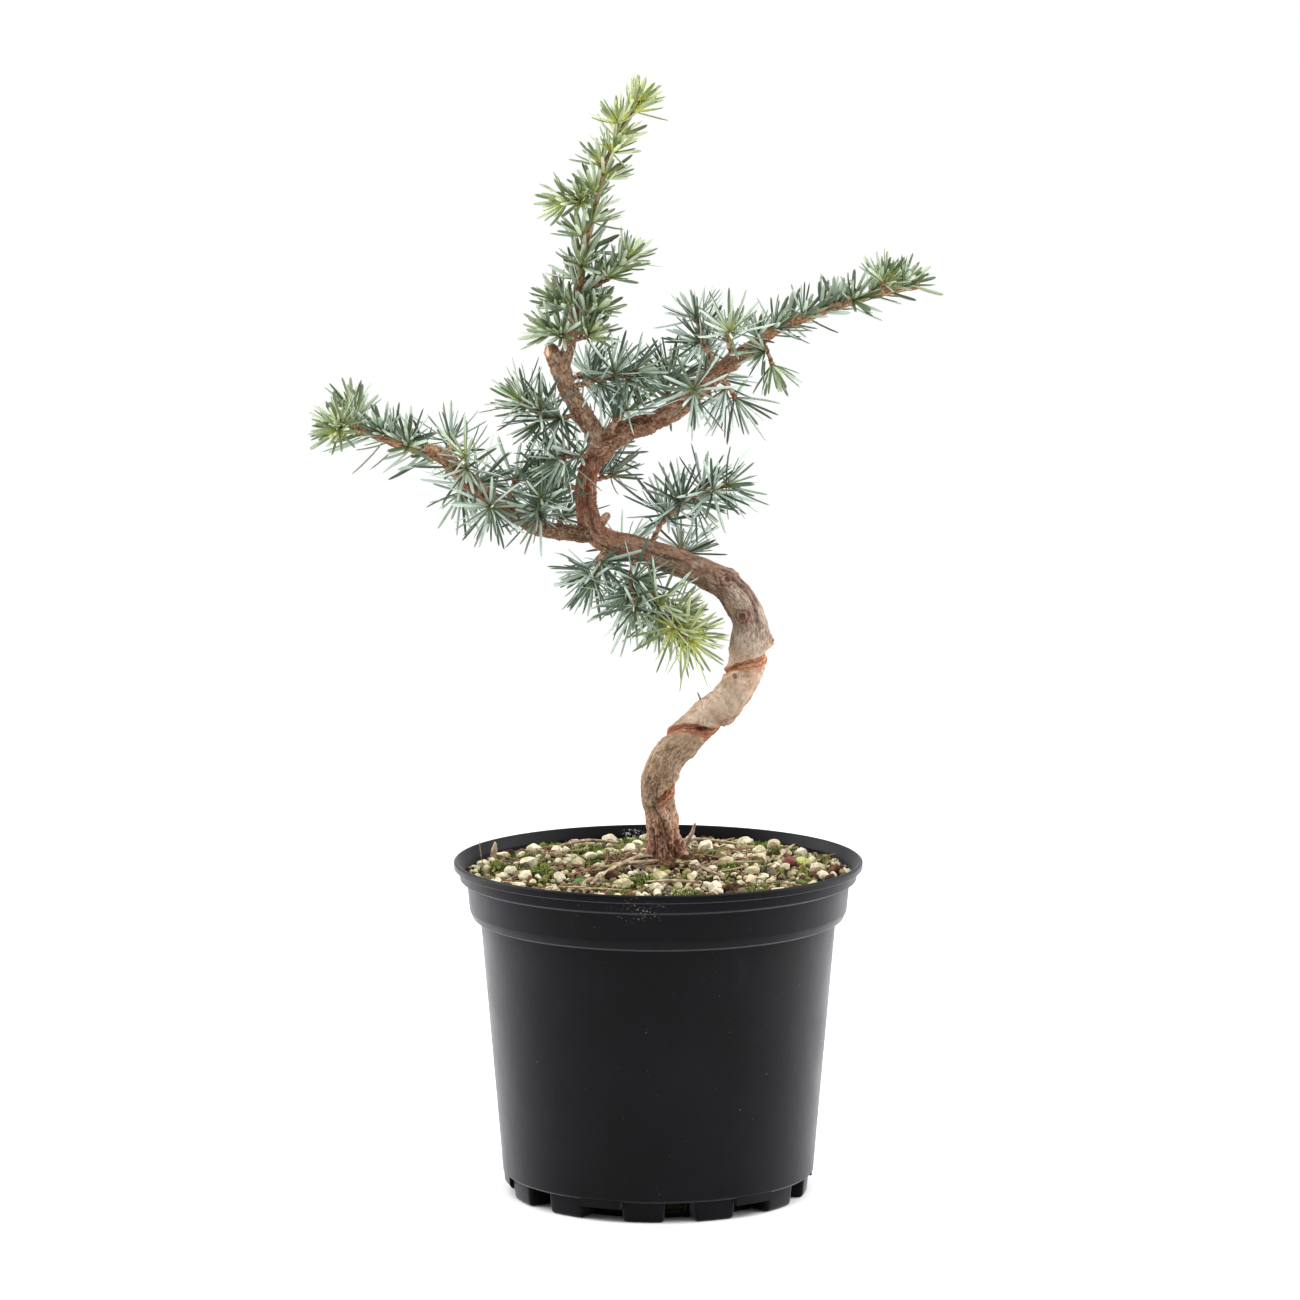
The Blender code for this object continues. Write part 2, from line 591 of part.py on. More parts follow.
def turned(name, profile, steps, group):
    """A solid turned about Z from a profile that runs down its outer side."""
    mesh = bpy.data.meshes.new(name)
    corners = [(radius * MM, 0.0, height * MM) for radius, height in profile]
    mesh.from_pydata(corners, [(k, k + 1) for k in range(len(corners) - 1)], [])
    item = add_object(name, mesh, group)
    screw = item.modifiers.new("turn", "SCREW")
    screw.axis = "Z"
    screw.steps = steps
    screw.render_steps = steps
    screw.use_merge_vertices = True
    screw.merge_threshold = 0.01 * MM
    solid = evaluated_mesh(item)
    item.modifiers.remove(screw)
    item.data = solid
    bpy.data.meshes.remove(mesh)
    return item


def sector(name, middle_deg, width_deg, radii, heights, taper, round_off, group):
    """A block bent round the pot's axis, narrower and rounded at its lower edge."""
    bm = bmesh.new()
    bmesh.ops.create_cube(bm, size=1.0)
    along = [e for e in bm.edges if abs(e.verts[0].co.x - e.verts[1].co.x) > 0.5]
    bmesh.ops.subdivide_edges(bm, edges=along, cuts=1, use_grid_fill=True)
    arc = math.radians(width_deg) * radii[1]
    for vert in bm.verts:
        vert.co = Vector((vert.co.x * arc, (radii[0] + radii[1]) / 2 + vert.co.y * (radii[1] - radii[0]),
                          (heights[0] + heights[1]) / 2 + vert.co.z * (heights[1] - heights[0])))
    if round_off:
        low = [e for e in bm.edges if all(abs(v.co.z - heights[0]) < 1e-6 for v in e.verts)
               and len(e.link_faces) == 2 and any(abs(f.normal.z) < 0.5 for f in e.link_faces)
               and not all(abs(v.co.y - radii[0]) < 1e-6 for v in e.verts)]
        bmesh.ops.bevel(bm, geom=low, offset=round_off, segments=1, profile=0.5, affect="EDGES",
                        material=-1)
    for vert in bm.verts:
        drop = (heights[1] - vert.co.z) / (heights[1] - heights[0])
        share = (vert.co.y - radii[0]) / (radii[1] - radii[0])
        radius = vert.co.y - taper * drop * share
        angle = math.radians(middle_deg) + vert.co.x * (1.0 - 0.05 * drop) / radii[1]
        vert.co = Vector((radius * math.sin(angle), -radius * math.cos(angle), vert.co.z))
    return object_from_bmesh(name, bm, group)


def make_pot(group):
    profile = [(0.0, POT_INNER[0][1]), *POT_INNER, *POT_OUTER, (0.0, POT_OUTER[-1][1])]
    pot = turned("pot", profile, POT_STEPS, group)
    feet = work_group("pot_feet")
    slots = work_group("pot_slots")
    for k in range(FOOT_PAIRS):
        pair = FIRST_PAIR_DEG + 360.0 / FOOT_PAIRS * k
        for side in (-1.0, 1.0):
            sector(f"foot_{k}_{side}", pair + side * FOOT_OFFSET_DEG, FOOT_WIDTH_DEG, FOOT_RADII,
                   (0.0, FOOT_TOP), FOOT_TAPER, 1.6 * MM, feet)
        width = 360.0 / FOOT_PAIRS - 2 * FOOT_OFFSET_DEG - FOOT_WIDTH_DEG + 1.0
        sector(f"skirt_{k}", pair + 180.0 / FOOT_PAIRS, width, SKIRT_RADII,
               (SKIRT_BOTTOM, FOOT_TOP + 1.0 * MM), 0.4 * MM, 0.0, feet)
        bm = bmesh.new()
        bmesh.ops.create_cube(bm, size=1.0)
        bmesh.ops.scale(bm, vec=SLOT_SIZE, verts=bm.verts)
        bmesh.ops.translate(bm, vec=(0.0, -57.8 * MM, 5.4 * MM), verts=bm.verts)
        bmesh.ops.rotate(bm, matrix=Matrix.Rotation(math.radians(pair), 3, "Z"), verts=bm.verts)
        object_from_bmesh(f"slot_{k}", bm, slots)
    hide_work(feet)
    hide_work(slots)
    combine(pot, feet, "UNION")
    combine(pot, slots, "DIFFERENCE")
    return pot


def soil_height(x, y):
    """Height of the soil's surface: flat round the trunk, falling and uneven toward the rim."""
    away = max(0.0, math.hypot(x - FOOT_SPOT[0], y - FOOT_SPOT[1]) - FLAT_RADIUS)
    fall = min(1.0, away / (68.0 * MM))
    waves = math.sin(x / (7.0 * MM) + 0.6) * math.sin(y / (8.0 * MM) + 1.1)
    return SOIL_PEAK_Z - (SOIL_PEAK_Z - SOIL_EDGE_Z) * fall + 0.5 * MM * waves * min(1.0, 4 * fall)


def make_soil(group):
    clear = 0.35
    wall = [(radius - clear, height + clear) for radius, height in POT_INNER if height < 148.0]
    edge = (POT_INNER[-2][0] - clear, SOIL_EDGE_Z / MM)
    top = [(radius, SOIL_PEAK_Z / MM) for radius in (0.0, 18.0, 36.0, 58.0, 80.0)]
    soil = turned("soil", [*top, edge, *reversed(wall), (0.0, wall[0][1])], POT_STEPS, group)
    for vert in soil.data.vertices:
        if vert.co.z > SOIL_PEAK_Z - 0.1 * MM:
            vert.co.z = soil_height(vert.co.x, vert.co.y)
    grains = work_group("soil_grains")
    for k, (x, y, radius) in enumerate(STONES):
        x, y, radius = x * MM, y * MM, radius * MM
        depth = STONE_DEPTH + STONE_RISE * radius
        middle = soil_height(x, y) - STONE_DEPTH + depth / 2
        bm = bmesh.new()
        bmesh.ops.create_cone(bm, cap_ends=True, segments=STONE_SIDES, radius1=radius,
                              radius2=radius * STONE_TOP, depth=depth,
                              matrix=Matrix.Translation((x, y, middle)) @ Matrix.Rotation(k * 2.4, 4, "Z"))
        object_from_bmesh(f"stone_{k}", bm, grains)
    hide_work(grains)
    combine(soil, grains, "UNION")
    return soil


def finish(item, material, smooth_deg):
    item.data.materials.clear()
    item.data.materials.append(material)
    if smooth_deg:
        item.data.shade_smooth()
        item.data.set_sharp_from_angle(angle=math.radians(smooth_deg))
    else:
        item.data.shade_flat()


def build():
    clear_scene()
    group = new_collection("bonsai_cedar")
    new_collection("work")
    finish(make_pot(group), make_material("black_plastic", BLACK_PLASTIC), 35.0)
    finish(make_soil(group), make_material("soil", SOIL_COLOUR), 0.0)

    paths = {name: smooth_path(line, TRUNK_STEP if name == "trunk" else BOUGH_STEP)
             for name, line in LIMBS.items()}
    trunk = make_trunk(paths, group)
    boughs = [make_bough("right_bough", paths, ["trunk"], group),
              make_bough("leader", paths, ["trunk", "right_bough"], group),
              make_bough("left_bough", paths, ["trunk"], group)]
    for item, look in [*zip(trunk, (OLD_BARK, OLD_BARK, YOUNG_BARK)), *zip(boughs, [YOUNG_BARK] * 3)]:
        finish(item, make_material(item.name + "_bark", look), 50.0)

    plans = [plan_spray(row, paths) for row in SPRAYS] + [plan_shoot(row, paths) for row in SHOOTS]
    wood = [paths["trunk"], *[stretch(paths[name], 0.0, end) for name, end in SHOOT_STARTS.items()]]
    wood = np.concatenate([np.concatenate([line, (line[1:] + line[:-1]) / 2]) for line in wood])
    crown = Crown(plans, wood)
    for plan in plans:
        needles = make_needles(plan, crown, group)
        finish(needles, make_material(plan["name"], NEEDLE_TINTS[plan["tint"]]), 0.0)
    bpy.data.collections.remove(bpy.data.collections["work"])


build()
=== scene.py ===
# A young blue cedar trained as a bonsai, in its black nursery pot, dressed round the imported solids.
import math
import random

import bmesh
import bpy
import numpy as np
from mathutils import Matrix, Vector, noise


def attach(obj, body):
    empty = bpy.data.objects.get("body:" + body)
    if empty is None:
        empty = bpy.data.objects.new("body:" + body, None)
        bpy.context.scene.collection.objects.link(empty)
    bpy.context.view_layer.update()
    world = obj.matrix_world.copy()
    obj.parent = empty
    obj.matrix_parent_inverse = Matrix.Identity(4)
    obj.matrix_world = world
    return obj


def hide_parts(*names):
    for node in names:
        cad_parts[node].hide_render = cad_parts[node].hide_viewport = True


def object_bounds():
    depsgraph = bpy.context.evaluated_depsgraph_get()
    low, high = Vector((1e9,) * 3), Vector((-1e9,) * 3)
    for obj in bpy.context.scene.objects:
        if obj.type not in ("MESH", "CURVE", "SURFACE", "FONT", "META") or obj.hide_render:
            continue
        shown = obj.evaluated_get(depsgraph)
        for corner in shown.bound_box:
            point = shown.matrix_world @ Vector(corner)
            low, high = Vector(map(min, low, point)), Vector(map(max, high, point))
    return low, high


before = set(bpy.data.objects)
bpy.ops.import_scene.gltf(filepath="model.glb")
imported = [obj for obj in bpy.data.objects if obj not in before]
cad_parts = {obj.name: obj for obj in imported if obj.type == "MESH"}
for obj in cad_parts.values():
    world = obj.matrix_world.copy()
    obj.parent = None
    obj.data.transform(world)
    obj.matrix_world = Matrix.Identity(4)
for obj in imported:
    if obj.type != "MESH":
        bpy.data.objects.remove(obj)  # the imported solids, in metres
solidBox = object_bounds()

mm = 0.001
fullTurn = 2 * math.pi
goldenTurn = math.radians(137.5)


# Colours are given as 0 to 255 screen values and turned into light values here.
def paint(screen):
    return (*(c / 255 / 12.92 if c < 10.3 else ((c / 255 + 0.055) / 1.055) ** 2.4 for c in screen), 1)


def addNode(tree, kind, sockets, **settings):
    made = tree.nodes.new("ShaderNode" + kind)
    for key, value in settings.items():
        setattr(made, key, value)
    for key, value in sockets.items():
        if isinstance(value, bpy.types.NodeSocket):
            tree.links.new(value, made.inputs[key])
        else:
            made.inputs[key].default_value = value
    return made.outputs


# A material in the making: its nodes, and the base colour laid on so far.
class Coat:
    def __init__(self, name, roughness, specular):
        self.material = bpy.data.materials.new(name)
        self.material.use_nodes = True
        self.tree = self.material.node_tree
        self.shader = self.tree.nodes["Principled BSDF"].inputs
        self.shader["Roughness"].default_value = roughness
        self.shader["Specular IOR Level"].default_value = specular
        self.place = self.node("TexCoord")["Object"]

    def node(self, kind, sockets=None, **settings):
        return addNode(self.tree, kind, sockets or {}, **settings)

    def times(self, a, b):
        return self.node("Math", {0: a, 1: b}, operation="MULTIPLY")[0]

    def plus(self, a, b):
        return self.node("Math", {0: a, 1: b}, operation="ADD")[0]

    def moved(self, squeeze):
        return self.node("Mapping", {"Vector": self.place, "Scale": squeeze})["Vector"]

    def mottle(self, scale, detail, squeeze=1):
        vector = self.moved(squeeze if isinstance(squeeze, tuple) else (1, 1, squeeze))
        return self.node("TexNoise", {"Vector": vector, "Scale": scale, "Detail": detail,
                                      "Roughness": 0.6})["Fac"]

    def steps(self, factor, low, high):
        return self.node("MapRange", {"Value": factor, "From Min": low, "From Max": high},
                         clamp=True, interpolation_type="SMOOTHSTEP")["Result"]

    def patches(self, scale, detail, low, high, squeeze=1):
        return self.steps(self.mottle(scale, detail, squeeze), low, high)

    def attribute(self, name):
        return self.node("Attribute", attribute_name=name)["Fac"]

    def wrap(self):
        return self.node("SeparateXYZ", {0: self.node("UVMap", uv_map="wrap")[0]})

    # stops hold a screen colour each, or a plain number for a mask
    def ramp(self, factor, stops):
        made = self.tree.nodes.new("ShaderNodeValToRGB")
        self.tree.links.new(factor, made.inputs["Fac"])
        elements = made.color_ramp.elements
        elements.remove(elements[1])
        for k, (position, value) in enumerate(stops):
            element = elements.new(position) if k else elements[0]
            element.position = position
            element.color = paint(value) if isinstance(value, tuple) else (value, value, value, 1)
        return made.outputs["Color"]

    def blend(self, factor, first, second, how="MIX"):
        first, second = (paint(c) if isinstance(c, tuple) else c for c in (first, second))
        return self.node("Mix", {0: factor, 6: first, 7: second}, data_type="RGBA", blend_type=how)[2]

    def lay(self, mask, colour, strength=None):
        self.base = self.blend(mask if strength is None else self.times(mask, strength), self.base, colour)

    def patch(self, scale, detail, low, high, strength, colour, squeeze=1):
        self.lay(self.patches(scale, detail, low, high, squeeze), colour, strength)

    # painted light and shade: raised places are painted paler as if lit, and hollows darker as if in shade
    def paintRidgeLightAndHollowShade(self, strength):
        high = self.attribute("high")
        self.lay(self.steps(high, 0.50, 0.85), (220.59, 203.42, 187.52), strength)
        self.lay(self.steps(high, 0.48, 0.15), (59.87, 46.62, 38.69), strength * 1.6)

    # the grain is a height, or the noise that makes one
    def finish(self, grain=None, depth=0):
        self.tree.links.new(self.base, self.shader["Base Color"])
        if grain is not None:
            height = self.mottle(*grain) if isinstance(grain, tuple) else grain
            bump = self.node("Bump", {"Height": height, "Distance": depth * mm})
            self.tree.links.new(bump["Normal"], self.shader["Normal"])
        return self.material


def rampCoat(name, roughness, specular, scale, detail, *stops):
    coat = Coat(name, roughness, specular)
    coat.base = coat.ramp(coat.mottle(scale, detail), stops)
    return coat


def linked(name, mesh):
    item = bpy.data.objects.new(name, mesh)
    bpy.context.scene.collection.objects.link(item)
    return item


def meshPiece(name, bm):
    mesh = bpy.data.meshes.new(name)
    bm.to_mesh(mesh)
    bm.free()
    return linked(name, mesh)


def keepPiece(item, slotName, nodes, materials, smooth=True):
    for material in materials:
        item.data.materials.append(material)
    if smooth:
        item.data.shade_smooth()
    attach(item, "root")
    if nodes:
        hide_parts(*nodes)


# Wood. Each line is a limb's centre and radius in millimetres, from its root to its tip.
woodLines = {
    "trunk": [
        (4, 12, 150, 10.8), (2.5, 11.5, 161, 8.2), (1.5, 11.5, 172.5, 7.5), (0, 11, 187.5, 8.1),
        (3.5, 8.5, 202, 8.1), (14.5, 5, 215.5, 8), (32, -1, 232, 7.9), (40, -5, 247.5, 8.4),
        (42, -7.5, 259.5, 8.8), (40.5, -8, 273, 7.8), (32, -5.5, 284.5, 7), (19, -1.5, 292, 6.7),
        (-4, 6, 299.5, 6.1), (-27, 10.5, 306.5, 5.8), (-33.5, 10, 321.5, 4.9), (-32, 8, 338, 4.8),
        (-25, 6, 351.5, 5)],
    "leader": [
        (-26, 7, 349, 4.6), (-35, 3.5, 364.5, 4.4), (-42, 1, 377, 4.1), (-43, 0, 388, 3.3),
        (-40, -1, 400, 2.8), (-38, -1, 410, 2.1), (-36, -2, 427, 1.9), (-33.5, -3, 445, 1.7),
        (-26.5, -2, 472, 1.4), (-17.5, 0, 495, 1.1), (-9.5, 2, 508, 0.8)],
    "right_bough": [
        (-28, 6.5, 346, 4.8), (-18, 5, 355, 5), (-4, 2, 360, 4.8), (10, -2, 368.5, 4.4), (22, -5.5, 380, 4),
        (41.5, -10, 395.5, 3.4), (55, -14, 405.5, 2.3), (79, -18, 415, 1.8), (100, -21, 422, 1.6),
        (119, -23, 426.5, 1.9)],
    "left_bough": [
        (-28, 10, 308, 3.8), (-41, 8, 308.5, 3.4), (-53.5, 5, 311, 3.9), (-65.5, 0, 318.5, 4.2),
        (-79, -4, 326.5, 4), (-92, -9, 339.5, 3.9), (-101, -12, 347.5, 3.3), (-117.5, -15, 352, 2.3),
        (-132, -18, 358, 1.9), (-147, -20, 360.5, 1.3)],
}
shootStarts = {"leader": 0.33, "right_bough": 0.50, "left_bough": 0.65}


def smoothLine(waypoints, step):
    points = [np.array(p, float) * mm for p in waypoints]
    points = [2 * points[0] - points[1], *points, 2 * points[-1] - points[-2]]
    fine = []
    for a, b, c, d in zip(points, points[1:], points[2:], points[3:]):
        for t in np.linspace(0, 1, 12, endpoint=False):
            fine.append(0.5 * (2 * b + (c - a) * t + (2 * a - 5 * b + 4 * c - d) * t ** 2
                               + (3 * b - a - 3 * c + d) * t ** 3))
    fine = np.array([*fine, points[-2]])
    travelled = distances(fine)
    places = np.linspace(0, travelled[-1], max(2, round(travelled[-1] / step)) + 1)
    return np.stack([np.interp(places, travelled, fine[:, k]) for k in range(4)], axis=1)


def distances(line):
    return np.concatenate([[0], np.cumsum(np.linalg.norm(np.diff(line[:, :3], axis=0), axis=1))])


def placeOn(line, along):
    places = np.linspace(0, 1, len(line))
    low, here, high = (np.array([np.interp(at, places, line[:, k]) for k in range(4)])
                       for at in (along - 0.01, along, along + 0.01))
    return Vector(here[:3]), here[3], Vector((high - low)[:3]).normalized()


def stretchOf(line, start, end):
    places = np.linspace(0, 1, len(line))
    wanted = np.linspace(start, end, max(2, round((end - start) * (len(line) - 1)) + 1))
    return np.stack([np.interp(wanted, places, line[:, k]) for k in range(4)], axis=1)


# Layers of noise, each told as its scale across and along, a shift and octaves.
def clouds(points, *rows):
    for across, ahead, shift, octaves in rows:
        scaled = points * (across, across, ahead) + shift
        yield np.array([noise.fractal(p, 0.9, 2.1, octaves) for p in scaled.tolist()])


def ringOf(turn, along, size):
    return np.stack([np.cos(turn) * size, np.sin(turn) * size, along], axis=1)


def unit(values):
    return np.clip(values, 0, 1)


def ridge(values, sharpness):
    return unit(1 - np.abs(values) * sharpness)


def hump(values, power=2):
    return np.exp(-values ** power)


def ease(low, high, values):
    t = unit((values - low) / (high - low))
    return t * t * (3 - 2 * t)


# Rises from a to b and falls from c to d.
def band(a, b, c, d, values):
    return ease(a, b, values) * (1 - ease(c, d, values))


# A flat grid is rolled round the centre line, so that its seam closes at the back.
def rollTube(name, line, sides, relief):
    bm = bmesh.new()
    bm.loops.layers.uv.new("wrap")
    bmesh.ops.create_grid(bm, x_segments=sides, y_segments=len(line) - 1, size=0.5, calc_uvs=True)
    flat = np.array([vert.co[:2] for vert in bm.verts])
    turn = flat[:, 0] * fullTurn
    row = np.rint((flat[:, 1] + 0.5) * (len(line) - 1)).astype(int)
    ahead = np.gradient(line[:, :3], axis=0)
    ahead /= np.linalg.norm(ahead, axis=1)[:, None]
    front = np.array([0, -1, 0]) + ahead * ahead[:, 1:2]
    front /= np.linalg.norm(front, axis=1)[:, None]
    outward = np.cos(turn)[:, None] * front[row] + np.sin(turn)[:, None] * np.cross(ahead, front)[row]
    radius = line[row, 3]
    lift, marks = relief(turn, distances(line)[row] / mm, radius / mm)
    spots = line[row, :3] + outward * (radius + lift * mm)[:, None]
    for vert, spot in zip(bm.verts, spots.tolist()):
        vert.co = spot
    layers = [(bm.verts.layers.float.new(key), values) for key, values in marks.items()]
    for k, vert in enumerate(bm.verts):
        for layer, values in layers:
            vert[layer] = float(values[k])
    bmesh.ops.remove_doubles(bm, verts=bm.verts, dist=0.002 * mm)
    bmesh.ops.holes_fill(bm, edges=[edge for edge in bm.edges if edge.is_boundary], sides=0)
    return meshPiece(name, bm)


trunkLook = {
    "sides": 144, "step": 0.42, "grain": 0.80,
    # where the wire's scar crosses the front: distance up the trunk in mm, turns so far
    "scarPath": [
        (0, -0.85), (32.2, -0.04), (34.8, 0.075), (39.9, 0.183), (50, 0.45), (62.5, 0.758), (70.9, 0.875),
        (76.4, 0.975), (80.6, 1.133), (93, 1.45), (109.5, 1.80), (114.8, 1.90), (118.4, 2), (121.2, 2.225),
        (124.5, 2.40), (160, 3.2)],
    # the turns it begins and ends at, and how wide it is by turns
    "scarTurns": (-0.035, 2.36),
    "scarHalfWidth": [
        (-0.05, 2.2), (0.06, 3.5), (0.2, 3.2), (0.5, 2.6), (0.76, 1.9), (0.87, 3.2), (0.97, 3.6),
        (1.13, 2.9), (1.45, 2.4), (1.78, 1.6), (1.90, 2.4), (2, 2.7), (2.2, 2.8), (2.4, 2.4)],
    "scarDepth": 1.40, "scarLip": 0.70, "scarTilt": 0.93,
    # knots: distance up the trunk, turn in degrees, size, height
    "knots": [
        (139.8, -13, 5.2, 1.35), (156.4, 28, 4.6, 1.15), (134.3, 42, 1.7, 0.6), (149, 62, 2.4, 0.7),
        (110.5, -24, 2.2, 0.9), (157, 96, 3.2, 1.3), (128, 84, 3.4, 1.3), (92, 88, 3.6, 1),
        (64, 96, 3, 1.1), (126, 90, 2.8, 1), (171, -40, 2.4, 0.6), (104, -60, 2, 0.5), (58, 150, 3.2, 1.2),
        (96, 175, 2.8, 1), (186, 140, 2.8, 0.9), (86, 20, 1.6, 0.35), (205, 60, 2.2, 0.6),
        (222, -30, 2.6, 0.9), (243, 50, 2.4, 0.8), (12, 65, 4.5, 1.8)],
    # reddish stains, then pale patches: distance up the trunk, turn in degrees, reach
    "stain": [
        (145.5, -48, 7), (153, 0, 4), (154, 58, 6), (166, 40, 9), (128, -62, 5), (100, 62, 7), (90, 40, 4),
        (236, 10, 12), (256, 20, 10), (118, 60, 4)],
    "pale": [
        (146, 6, 4.4), (150.5, 22, 3), (129, 4, 6), (131, -34, 5), (121.5, 56, 5), (96, 0, 7), (103, 30, 6),
        (86, -20, 6), (137, 66, 4)],
    # clefts: places they run through, distance up the trunk and turn in degrees
    "clefts": [
        [(158, 36), (152.5, 46), (147, 47), (141.5, 38), (136, 26)],
        [(160, 56), (155, 66), (149, 70), (141, 64)], [(4, 8), (14, 16), (24, 8), (31, -22)],
        [(3, 44), (10, 38), (20, 52)], [(4, -34), (16, -28), (27, -44)], [(178, 20), (188, 8), (199, 14)],
        [(222, 4), (234, 18), (247, 6)], [(218, 150), (236, 170)]],
    # roughness of the bark by distance up the trunk
    "rough": [
        (0, 1.25), (18, 1.05), (30, 0.66), (62, 0.46), (76, 0.13), (114, 0.12), (122, 0.26), (134, 0.50),
        (160, 0.55), (180, 0.38), (215, 0.50), (235, 0.8), (268, 0.9)],
    # torn hollow in the middle scar: distance up, turn in degrees, half length, half width, slope, depth
    "hole": (78.4, 20, 4.3, 1.5, 0.5, 1.5),
    # colours of the bark from its foot up, and of a scar across its width, ending in painted shadow under
    # its upper lip
    "paints": [
        (0, (104, 74, 56)), (0.04, (168, 118, 92)), (0.09, (186, 140, 112)), (0.13, (166, 138, 110)),
        (0.25, (170, 142, 114)), (0.29, (188, 162, 136)), (0.34, (192, 166, 142)), (0.41, (184, 158, 134)),
        (0.45, (170, 146, 126)), (0.50, (124, 101, 85)), (0.58, (138, 113, 94)), (0.68, (166, 130, 104)),
        (0.78, (164, 118, 92)), (0.88, (178, 116, 86)), (1, (166, 106, 78))],
    "strands": [
        (0.04, (146, 88, 58)), (0.15, (206, 152, 116)), (0.28, (120, 70, 48)), (0.40, (204, 156, 126)),
        (0.52, (126, 76, 52)), (0.66, (96, 56, 38)), (0.80, (166, 106, 74)), (0.92, (40, 25, 20))],
    # how much lichen and how much rust shows, from the foot up
    "lichen": [
        (0, 0.15), (0.12, 0.60), (0.25, 0.55), (0.30, 0.14), (0.42, 0.18), (0.50, 0.45), (0.62, 0.25),
        (1, 0.1)],
    "rust": [(0, 0.55), (0.11, 0.35), (0.2, 0.12), (0.7, 0.15), (1, 0.45)],
}


# Brings a turn to within half a turn of the front.
def frontward(turn):
    return (turn + math.pi) % fullTurn - math.pi


# How far round the trunk each corner is from a turn told in degrees.
def sweep(turn, degrees):
    return frontward(turn - np.radians(degrees))


def trunkRelief(turn, along, radius):
    look = trunkLook
    ring = ringOf(turn, along, 8)
    rough = np.interp(along, *zip(*look["rough"]))
    fibres, fissures, plates, grain, lumps = clouds(
        ring, (0.42, 0.075, 0, 4), (0.85, 0.21, 23, 3), (0.30, 0.16, 31, 3), (1.5, 0.7, 11, 3),
        (0.10, 0.07, 71, 2))
    bent = ring + np.stack([lumps, plates, 2.2 * lumps], axis=1) * 3
    wrinkles, crinkles = clouds(bent, (0.12, 0.42, 53, 2), (0.15, 0.42, 61, 3))
    smoothPart = 1 - ease(0.15, 0.42, rough)
    crack = np.maximum(ridge(fibres, 8), 0.75 * ridge(fissures, 7)) * (1 - 0.85 * smoothPart)
    lift = rough * (0.80 * plates - 0.95 * crack + 0.30 * grain) + 0.80 * lumps + 0.05 * grain
    lift += (0.08 + 0.38 * smoothPart) * wrinkles + 0.34 * smoothPart * crinkles
    # painted shade along the creases of the crosswise wrinkles on the smooth stretch
    creaseShade = smoothPart * ridge(crinkles, 4.5) * unit(0.65 + 1.6 * plates)
    # the root flare breaks into lobes, and the foot stands in the soil
    flare = 1 - ease(2, 17, along)
    lift += flare * (1.3 * np.cos(5 * turn + 0.4) + 0.8 * np.cos(3 * turn + 2) + 1.2 * plates)
    heights, fractions = zip(*look["scarPath"])
    turns = np.interp(along, heights, fractions)
    windings = turn / fullTurn + np.round(turns - turn / fullTurn)
    # distance above the middle of the scar, measured along the trunk
    off = (along - np.interp(windings, fractions, heights)) * look["scarTilt"]
    first, last = look["scarTurns"]
    strength = band(first - 0.05, first + 0.06, last - 0.10, last, windings)
    strength *= np.clip(1 + 0.35 * lumps, 0.75, 1.1)
    half = np.interp(windings, *zip(*look["scarHalfWidth"])) * np.clip(1 + 0.9 * lumps, 0.80, 1.25)
    place = (off + 0.22 * plates + 0.10 * grain) / half
    groove = band(-1.1, 0.45, 0.74, 1.06, place)
    upperLip, lowerLip = hump((place - 1.42) / 0.36), hump((place + 1.18) / 0.22)
    strands = np.cos(place * 8.6 + 1.6 * plates + 0.6)
    swell = band(12, 30, 128, 146, along)
    between = np.cos((windings - turns) * fullTurn)
    lift += strength * (look["scarLip"] * (upperLip + 0.35 * lowerLip) - look["scarDepth"] * groove
                        + 0.26 * strands * hump(place, 4)) - 0.60 * swell * between
    up, degrees, length, width, slope, depth = look["hole"]
    aside = sweep(turn, degrees) * radius
    hole = hump(np.hypot(aside / length, (along - up - slope * aside) / width), 4)
    lift -= depth * hole

    def away(up, degrees, reach, waver):
        return np.hypot(sweep(turn, degrees) * radius, along - up) / reach * (1 + waver * plates)

    stain, pale = (np.max([hump(away(*row, 0.7)) for row in look[key]], axis=0) for key in ("stain", "pale"))
    knotMark, cleft = np.zeros((2, len(turn)))
    for up, degrees, size, height in look["knots"]:
        far = away(up, degrees, size, 0.25)
        rings = np.cos(far * size * 3.3 + 1.2 * plates) * hump(far / 1.15)
        lift += height * (hump(far / 1.05) - 0.7 * hump(far / 0.30) + 0.24 * rings)
        knotMark = np.maximum(knotMark, (hump(far / 0.30) + 1.1 * unit(-rings)) * min(1, height))
        if height > 1.05:
            stain = np.maximum(stain, hump(far / 0.85, 4))
    for places in look["clefts"]:
        ups, turnsAt = zip(*sorted(places))
        aside = sweep(turn, np.interp(along, ups, turnsAt)) * radius + 0.5 * grain
        inside = band(ups[0] - 1.5, ups[0] + 1, ups[-1] - 1, ups[-1] + 1.5, along)
        cleft = np.maximum(cleft, inside * hump(aside / 0.62))
        lift += inside * 0.45 * hump(aside - 1.5)
    lift -= 0.75 * cleft
    raw = strength * band(-1.25, -1, 0.95, 1.12, place)
    # across the scar the strand runs up to the painted shadow under its upper lip, and the torn hollow gets
    # that painted shade too
    strandAndShadow = 0.46 + 0.36 * place + 0.12 * strands + 0.10 * grain + 0.10 * plates
    return lift, {"scar": raw, "strandAndShadow": unit(np.maximum(strandAndShadow, 1.2 * hole)),
                  "lip": strength * np.maximum(upperLip, 0.7 * lowerLip), "pale": pale, "knot": knotMark,
                  "crack": unit(crack * rough * 1.7 + flare * 0.4 * crack + cleft) * (1 - raw),
                  "high": unit(0.5 + (0.5 * grain + 0.6 * plates) * (1 - 0.8 * smoothPart)),
                  "creaseShade": creaseShade * (1 - raw), "rough": unit(rough),
                  "stain": stain * unit(0.7 + 0.8 * plates)}


